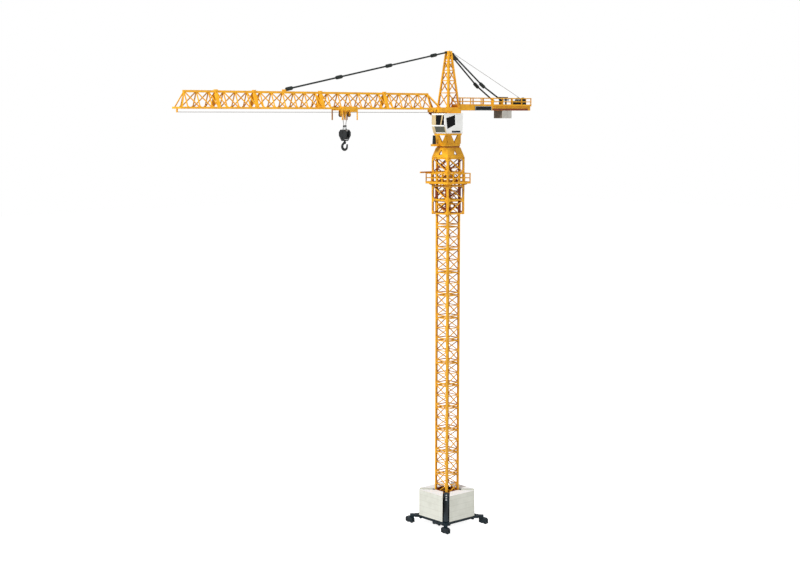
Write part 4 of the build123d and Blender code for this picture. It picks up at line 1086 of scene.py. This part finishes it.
class CRANE_OT_cab(bpy.types.Operator):
    """Adds the cab's roof, window frames, cream strips, lower pane and side strip"""

    bl_idname = "crane.cab"
    bl_label = "Cab fittings"

    def execute(self, context):
        cab_roof()
        cab_window_frames()
        cab_front_strips()
        cab_lower_pane()
        cab_side_strip()
        return {"FINISHED"}


# Counter-jib
def board_border():
    """a pale strip round the bare board"""
    low, high = GIRDER_TOP - 6.6, GIRDER_TOP - 0.4
    left, right = -85.6, -49.4
    back, face = 10.9, 11.25
    half = 0.25
    bm = bmesh.new()
    for z in (low, high):
        box(bm, (left - 0.2, back, z - half), (right + 0.2, face, z + half))
    for x in (left, right):
        box(bm, (x - half, back, low), (x + half, face, high))
    make("board_border", bm, "border_pale", "upper")


def girder_shade_bands():
    """red-brown bands of painted shade along the girders, from the board back"""
    bm = bmesh.new()
    side_boxes(bm, (-172.0, -89.5), (9.9, 10.3), (GIRDER_TOP - 6.8, GIRDER_TOP - 3.8))
    make("girder_shade_bands", bm, "ring_brown", "upper")


def deck_tread():
    """raised dashes across the counter-jib's deck, repeated along it"""
    long, wide, high = 1.4, 1.3, 0.25
    spacing = 2.1
    start = -18.0
    bm = bmesh.new()
    for step in range(9):
        y = -9 + step * spacing
        box(bm, (start, y, FLOOR), (start + long, y + wide, FLOOR + high))
    make_row("deck_tread", bm, "crane_yellow", "upper", count=35, step=(-2.0, 0, 0))


def deck_toe_boards():
    """low boards along the deck's edges, farther out beside the winch"""
    up = (FLOOR, FLOOR + 1.8)
    bm = bmesh.new()
    side_boxes(bm, (-MACHINE_START, -16.2), (9.3, 9.9), up)
    side_boxes(bm, (-COUNTER_END + 0.2, -MACHINE_START), (11.9, 12.5), up)
    make("deck_toe_boards", bm, "crane_yellow", "upper")


class CRANE_OT_counter_jib(bpy.types.Operator):
    """Adds the board's border, the girders' bands of painted shade, and the deck's tread and toe boards"""

    bl_idname = "crane.counter_jib"
    bl_label = "Counter-jib fittings"

    def execute(self, context):
        board_border()
        girder_shade_bands()
        deck_tread()
        deck_toe_boards()
        return {"FINISHED"}


# Winch
def rope_on_drum():
    """one layer of rope round the drum, as a helix"""
    turns, steps = 15, 24
    half_width = 5.3
    coil, strand = 4.95, 0.34
    pitch = 2 * half_width / turns
    rings = []
    for i in range(turns * steps + 1):
        angle = 2 * math.pi * i / steps
        out = Vector((math.sin(angle), 0, math.cos(angle)))
        centre = Vector(DRUM) + out * coil + Vector((0, pitch * i / steps - half_width, 0))
        ring = []
        for t in (math.pi * corner / 3 for corner in range(6)):
            ring.append(centre + out * strand * math.cos(t) + Vector((0, strand * math.sin(t), 0)))
        rings.append(ring)
    bm = bmesh.new()
    add_hull(bm, rings)
    make("rope_on_drum", bm, "rope_grey", "drum")


def motor_ribs():
    """cooling ribs round the winch's motor"""
    x, _, z = MOTOR
    profile = [(0, 3.6), (0.2, 3.9), (0.6, 3.9), (0.8, 3.6)]
    bm = bmesh.new()
    turned(bm, (x, -4.0, z), ACROSS, profile, sides=24)
    make_row("motor_ribs", bm, "winch_dark", "upper", count=6, step=(0, 1.5, 0))


class CRANE_OT_winch(bpy.types.Operator):
    """Winds the rope on the drum and adds the motor's ribs"""

    bl_idname = "crane.winch"
    bl_label = "Winch fittings"

    def execute(self, context):
        rope_on_drum()
        motor_ribs()
        return {"FINISHED"}


# Stays
def sleeve(bm, centre, run):
    """a coupling with chamfered ends and two cross bolts on a stay"""
    places = (-5.2, -4.2, 4.2, 5.2)
    bolt_step = 2.2
    round_bar(bm, [centre + run * place for place in places], [1.7, 2.8, 2.8, 1.7], 16)
    for step in (-bolt_step, bolt_step):
        pin(bm, centre + run * step, ACROSS, halves=(2.9, 3.1), radii=(0.9, 0.6), sides=10)


def front_stay_sleeves():
    """the front stay's round rod, and its couplings"""
    start = Vector((5.5, 0, HEAD_TOP - STAY_DROP))
    end = Vector((STAY_X, 0, TOP_CHORD_Z + 4.45))
    run = (end - start).normalized()
    bm = bmesh.new()
    for share in (0.085, 0.38, 0.69):
        sleeve(bm, start.lerp(end, share), run)
    sleeve(bm, end - run * 5.4, run)
    round_bar(bm, [start, end], [ROD, ROD])
    make("front_stay_sleeves", bm, "stay_black", "upper")


def rear_stay_sleeves():
    """the rear stays' round rods, bent at a coupling, and the dark bar on the deck beside them"""
    socket = 2.0
    bm = bmesh.new()
    for side in (-1, 1):
        start = Vector((-5.5, side * 2.4, HEAD_TOP - STAY_DROP - 2.0))
        end = Vector((-110.0, side * 9.8, FLOOR + 8.0))
        middle = start.lerp(end, 0.6) - Vector((0, 0, 5.0))
        sleeve(bm, middle, (end - start).normalized())
        near = (middle - start).normalized()
        round_bar(bm, [start - near, start + near * 13, start + near * 15], [socket, socket, ROD], 16)
        round_bar(bm, [start, middle], [ROD, ROD])
        round_bar(bm, [middle, end], [ROD, ROD])
        pin(bm, end, ACROSS, halves=(1.6, 1.7), radii=(1.7, 1.0), sides=16)
    box(bm, (-127.0, 9.2, FLOOR + 8.2), (-109.0, 10.4, FLOOR + 10.0))
    make("rear_stay_sleeves", bm, "stay_black", "upper")


class CRANE_OT_stays(bpy.types.Operator):
    """Adds the stays' round rods, their couplings with cross bolts, and their ends"""

    bl_idname = "crane.stays"
    bl_label = "Stay fittings"

    def execute(self, context):
        front_stay_sleeves()
        rear_stay_sleeves()
        return {"FINISHED"}


# Trolley
def trolley_sheaves_round():
    """the two sheaves that the rope falls run over, with their axles"""
    bm = bmesh.new()
    for x in (TROLLEY_X - 8.2, TROLLEY_X + 8.2):
        sheave(bm, (x, 0, SHEAVE_Z), ACROSS, halves=(0.7, 0.45, 0.15), radii=(3.3, 2.7), sides=36)
        bolt(bm, (x, 0, SHEAVE_Z), ACROSS, radius=0.8, rise=2.4, sunk=2.4, sides=14)
    piece = make("trolley_sheaves_round", bm, "sheave_dark", "trolley")
    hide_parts("trolley_sheaves")


def trolley_roller_caps():
    """caps on the axles of the trolley's rollers"""
    bm = bmesh.new()
    for x in (TROLLEY_X - 10.5, TROLLEY_X + 10.5):
        for side in (-1, 1):
            centre = (x, side * 12.7, CHORD_Z + 0.4)
            cap(bm, centre, (0, side, 0), radii=(1.3, 0.7), levels=(-0.1, 0.4, 0.7), sides=18)
    make("trolley_roller_caps", bm, "crane_yellow", "trolley")


def hoist_falls():
    """the two rope falls, which run from the trolley's sheaves down to the hook block"""
    low = BLOCK_BOTTOM + 23.5
    top_apart, low_apart = 4.35, 1.9
    radius, sides = 0.45, 10
    turns = [2 * math.pi * i / sides for i in range(sides)]
    bm = bmesh.new()
    for side in (-1, 1):
        rings = []
        for x, z in ((side * top_apart, SHEAVE_Z), (side * low_apart, low)):
            rings.append([(TROLLEY_X + x + radius * math.cos(t), radius * math.sin(t), z) for t in turns])
        add_hull(bm, rings)
    piece = to_object("hoist_falls", bm, "rope_grey")
    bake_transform(piece)
    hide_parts("rope_falls")


class CRANE_OT_trolley(bpy.types.Operator):
    """Adds the trolley's round sheaves and roller caps, and the rope falls"""

    bl_idname = "crane.trolley"
    bl_label = "Trolley fittings"

    def execute(self, context):
        trolley_sheaves_round()
        trolley_roller_caps()
        hoist_falls()
        return {"FINISHED"}


# Hook and its block
def block_axle_caps():
    """caps on the outside of the block's two cheeks"""
    bm = bmesh.new()
    for z in (BLOCK_BOTTOM + 5.0, BLOCK_BOTTOM + 13.4):
        for way in (-1, 1):
            centre = (TROLLEY_X + way * 5.0, 0, z)
            cap(bm, centre, (way, 0, 0), radii=(1.7, 1.0), levels=(-0.4, 0.3, 0.6), sides=18)
    make("block_axle_caps", bm, "block_dark", "hook_block")


def block_cheeks():
    """two eight-sided cheek plates, the spacers between them and the barrel over them"""
    thick, spacer = 2.4, 1.3
    inside = 2.7
    foot = BLOCK_BOTTOM
    outline = [(-4.6, foot + 17.0), (4.6, foot + 17.0), (8.3, foot + 13.4), (8.3, foot + 8.0)]
    outline += [(2.0, foot), (-2.0, foot), (-8.3, foot + 8.0), (-8.3, foot + 13.4)]
    bm = bmesh.new()
    for x in (TROLLEY_X - 5.0, TROLLEY_X + 2.6):
        plate(bm, [(x, y, z) for y, z in outline], (thick, 0, 0))
    for y in (-3.6, 3.6):
        low = (TROLLEY_X - inside, y - spacer, foot + 3.0)
        box(bm, low, (TROLLEY_X + inside, y + spacer, foot + 6.6))
    pin(bm, (TROLLEY_X, 0, foot + 22.1), ALONG, halves=(2.7, 3.0), radii=(1.3, 0.9), sides=20)
    return make("block_cheeks", bm, "block_dark", "hook_block", bevel=0.3)


def block_sheaves():
    """two grooved sheaves side by side between the cheeks"""
    bm = bmesh.new()
    for x in (TROLLEY_X - 1.3, TROLLEY_X + 1.3):
        centre = (x, 0, BLOCK_BOTTOM + 11.6)
        sheave(bm, centre, ALONG, halves=(0.9, 0.6, 0.2), radii=(5.2, 4.6), sides=32)
    return make("block_sheaves", bm, "winch_dark", "hook_block")


def block_yoke():
    """bright links from the barrel down to the cheeks, and four pins through the cheeks"""
    wide, thick = 3.4, 0.9
    pins = ((-3.312, 2.2), (3.312, 2.2), (-4.752, 15.2), (4.752, 15.2))
    bm = bmesh.new()
    for way in (-1, 1):
        top = (TROLLEY_X + way * 1.3, 0, BLOCK_BOTTOM + 21.6)
        bar(bm, top, (TROLLEY_X + way * 3.2, 0, BLOCK_BOTTOM + 16.2), wide, thick, ACROSS)
    for y, z in pins:
        bolt(bm, (TROLLEY_X, y, BLOCK_BOTTOM + z), ALONG, radius=0.5, rise=3.6, sunk=3.6, sides=12)
    return make("block_yoke", bm, "pin_steel", "hook_block")


def forged_hook():
    """the hook, thickest under its bowl, with its shank, shoulder and nut"""
    steps, sides = 36, 12
    first_turn, sweep = 70, 250
    bowl, belly, half_depth = 3.02, 2.1, 1.45
    bm = bmesh.new()
    rings = []
    for step in range(steps + 1):
        angle = math.radians(first_turn - step * sweep / steps)
        thick = belly * math.sin(math.pi * (0.22 + 0.62 * step / steps)) ** 0.8
        out = Vector((math.cos(angle), 0, math.sin(angle)))
        centre = Vector((TROLLEY_X, 0, BOWL_Z)) + out * (bowl + thick)
        ring = []
        for i in range(sides):
            t = 2 * math.pi * i / sides
            ring.append(centre + out * thick * math.cos(t) + Vector((0, half_depth * math.sin(t), 0)))
        rings.append(ring)
    for rise in (1.3, 2.4, 3.0):
        rings.append([point + Vector((-0.12 * rise, 0, rise)) for point in rings[steps]])
    add_hull(bm, rings)
    x, z = TROLLEY_X, BLOCK_BOTTOM
    shank = [(x, 0, z - 4.4), (x, 0, z - 1.9), (x, 0, z + 0.1), (x, 0, z + 8.6)]
    round_bar(bm, shank, [1.5, 2.0, 1.2, 1.2], 18)
    round_bar(bm, [(x + 1.9, 0, z - 3.4), (x, 0, z - 0.6)], [1.9, 1.2], 14)
    turned(bm, (x, 0, z + 7.3), UP, [(0, 2.1), (1.4, 2.1), (1.6, 1.8)], 6)
    piece = make("forged_hook", bm, "block_dark", "hook")
    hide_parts("hook")


class CRANE_OT_hook(bpy.types.Operator):
    """Makes the hook block from caps, cheeks, sheaves and yoke, and the forged hook"""

    bl_idname = "crane.hook"
    bl_label = "Hook and block"

    def execute(self, context):
        block_axle_caps()
        for part in (block_cheeks(), block_sheaves(), block_yoke()):
            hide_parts("hook_block")
        forged_hook()
        return {"FINISHED"}


# Stage
def seen_rays(tree):
    """one for the rays that show the background: camera, glossy and transmission"""
    path = add(tree, "ShaderNodeLightPath").outputs
    pair = {0: path["Is Camera Ray"], 1: path["Is Glossy Ray"]}
    first = add(tree, "ShaderNodeMath", pair, operation="MAXIMUM").outputs[0]
    pair = {0: first, 1: path["Is Transmission Ray"]}
    return add(tree, "ShaderNodeMath", pair, operation="MAXIMUM").outputs[0]


def floor_finish():
    """matt pale paper that shows white and keeps the shadow"""
    lift = 0.9
    grey = (0.8, 0.8, 0.8, 1)
    material = bpy.data.materials.new("backdrop_paper")
    material.use_nodes = True
    tree = material.node_tree
    tree.nodes.clear()
    paper = add(tree, "ShaderNodeBsdfDiffuse", {"Color": grey})
    strength = add(tree, "ShaderNodeMath", {0: seen_rays(tree), 1: lift}, operation="MULTIPLY").outputs[0]
    glow = add(tree, "ShaderNodeEmission", {"Color": WHITE, "Strength": strength})
    both = add(tree, "ShaderNodeAddShader", {0: paper.outputs[0], 1: glow.outputs[0]})
    add(tree, "ShaderNodeOutputMaterial", {"Surface": both.outputs[0]})
    return material


def studio_floor():
    """a wide floor under the wheels"""
    width = 14
    bpy.ops.mesh.primitive_plane_add(size=width, location=(0, 0, 0))
    floor = bpy.context.object
    floor.name = "studio_floor"
    floor.data.materials.append(floor_finish())


def studio_world(scene):
    """a world that lights softly and shows white"""
    soft_light = 0.22
    world = bpy.data.worlds.new("studio_world")
    scene.world = world
    world.use_nodes = True
    tree = world.node_tree
    tree.nodes.clear()
    lit = add(tree, "ShaderNodeBackground", {"Color": WHITE, "Strength": soft_light})
    shown = add(tree, "ShaderNodeBackground", {"Color": WHITE, "Strength": 1.0})
    both = add(tree, "ShaderNodeMixShader", {0: seen_rays(tree), 1: lit.outputs[0], 2: shown.outputs[0]})
    add(tree, "ShaderNodeOutputWorld", {"Surface": both.outputs[0]})


def lamp(name, place, size, power):
    """a soft square lamp in metres and watts that points at the upper tower"""
    aim = Vector((0.05, 0, 0.45))
    data = bpy.data.lights.new(name, "AREA")
    data.size = size
    data.energy = power
    holder = bpy.data.objects.new(name, data)
    bpy.context.scene.collection.objects.link(holder)
    holder.location = place
    holder.rotation_mode = "QUATERNION"
    holder.rotation_quaternion = (aim - Vector(place)).to_track_quat("-Z", "Y")


def photo_camera(scene):
    """the camera that the photo was taken with, as found from the tower, the jib and the base"""
    pitch = math.radians(6.8)
    level = Vector((-0.661, -0.75, 0)).normalized()
    look = level * math.cos(pitch) + Vector((0, 0, -math.sin(pitch)))
    data = bpy.data.cameras.new("camera")
    data.lens = 63.0
    data.sensor_width = 36.0
    data.clip_start = 0.05
    data.clip_end = 60
    camera = bpy.data.objects.new("camera", data)
    scene.collection.objects.link(camera)
    camera.location = (1.538, 1.629, 0.666)
    camera.rotation_mode = "QUATERNION"
    camera.rotation_quaternion = look.to_track_quat("-Z", "Y")
    scene.camera = camera


class CRANE_OT_stage(bpy.types.Operator):
    """Makes the pale floor, the world, the soft lamps and the camera"""

    bl_idname = "crane.stage"
    bl_label = "Stage"

    def execute(self, context):
        scene = context.scene
        studio_floor()
        studio_world(scene)
        lamp("key_lamp", (1.9, 0.6, 2.1), size=1.0, power=66.0)
        lamp("fill_lamp", (-0.6, 2.4, 1.1), size=1.6, power=14.0)
        photo_camera(scene)
        scene.view_settings.view_transform = "Standard"
        return {"FINISHED"}


STEPS = (
    "finishes", "tower", "undercarriage", "cage", "head", "jib", "cab", "counter_jib", "winch", "stays",
    "trolley", "hook", "stage",
)


class CRANE_PT_panel(bpy.types.Panel):
    """Lists the crane's colours, sizes and steps"""

    bl_label = "Tower crane"
    bl_idname = "CRANE_PT_panel"
    bl_space_type = "VIEW_3D"
    bl_region_type = "UI"
    bl_category = "Crane"

    def draw(self, context):
        column = self.layout.column()
        column.prop(context.scene.crane_colours, "paint")
        for size in ("rail", "brace", "gusset", "lifts"):
            column.prop(context.scene.crane_sizes, size)
        for step in STEPS:
            column.operator("crane." + step)


CLASSES = (
    CraneColours, CraneSizes, CRANE_OT_finishes, CRANE_OT_tower, CRANE_OT_undercarriage, CRANE_OT_cage,
    CRANE_OT_head, CRANE_OT_jib, CRANE_OT_cab, CRANE_OT_counter_jib, CRANE_OT_winch, CRANE_OT_stays,
    CRANE_OT_trolley, CRANE_OT_hook, CRANE_OT_stage, CRANE_PT_panel,
)


def register():
    for entry in CLASSES:
        bpy.utils.register_class(entry)
    bpy.types.Scene.crane_colours = bpy.props.PointerProperty(type=CraneColours)
    bpy.types.Scene.crane_sizes = bpy.props.PointerProperty(type=CraneSizes)


def unregister():
    del bpy.types.Scene.crane_colours
    del bpy.types.Scene.crane_sizes
    for entry in reversed(CLASSES):
        bpy.utils.unregister_class(entry)


def main():
    """runs every step in order"""
    register()
    for step in STEPS:
        getattr(bpy.ops.crane, step)()


if __name__ == "__main__":
    main()
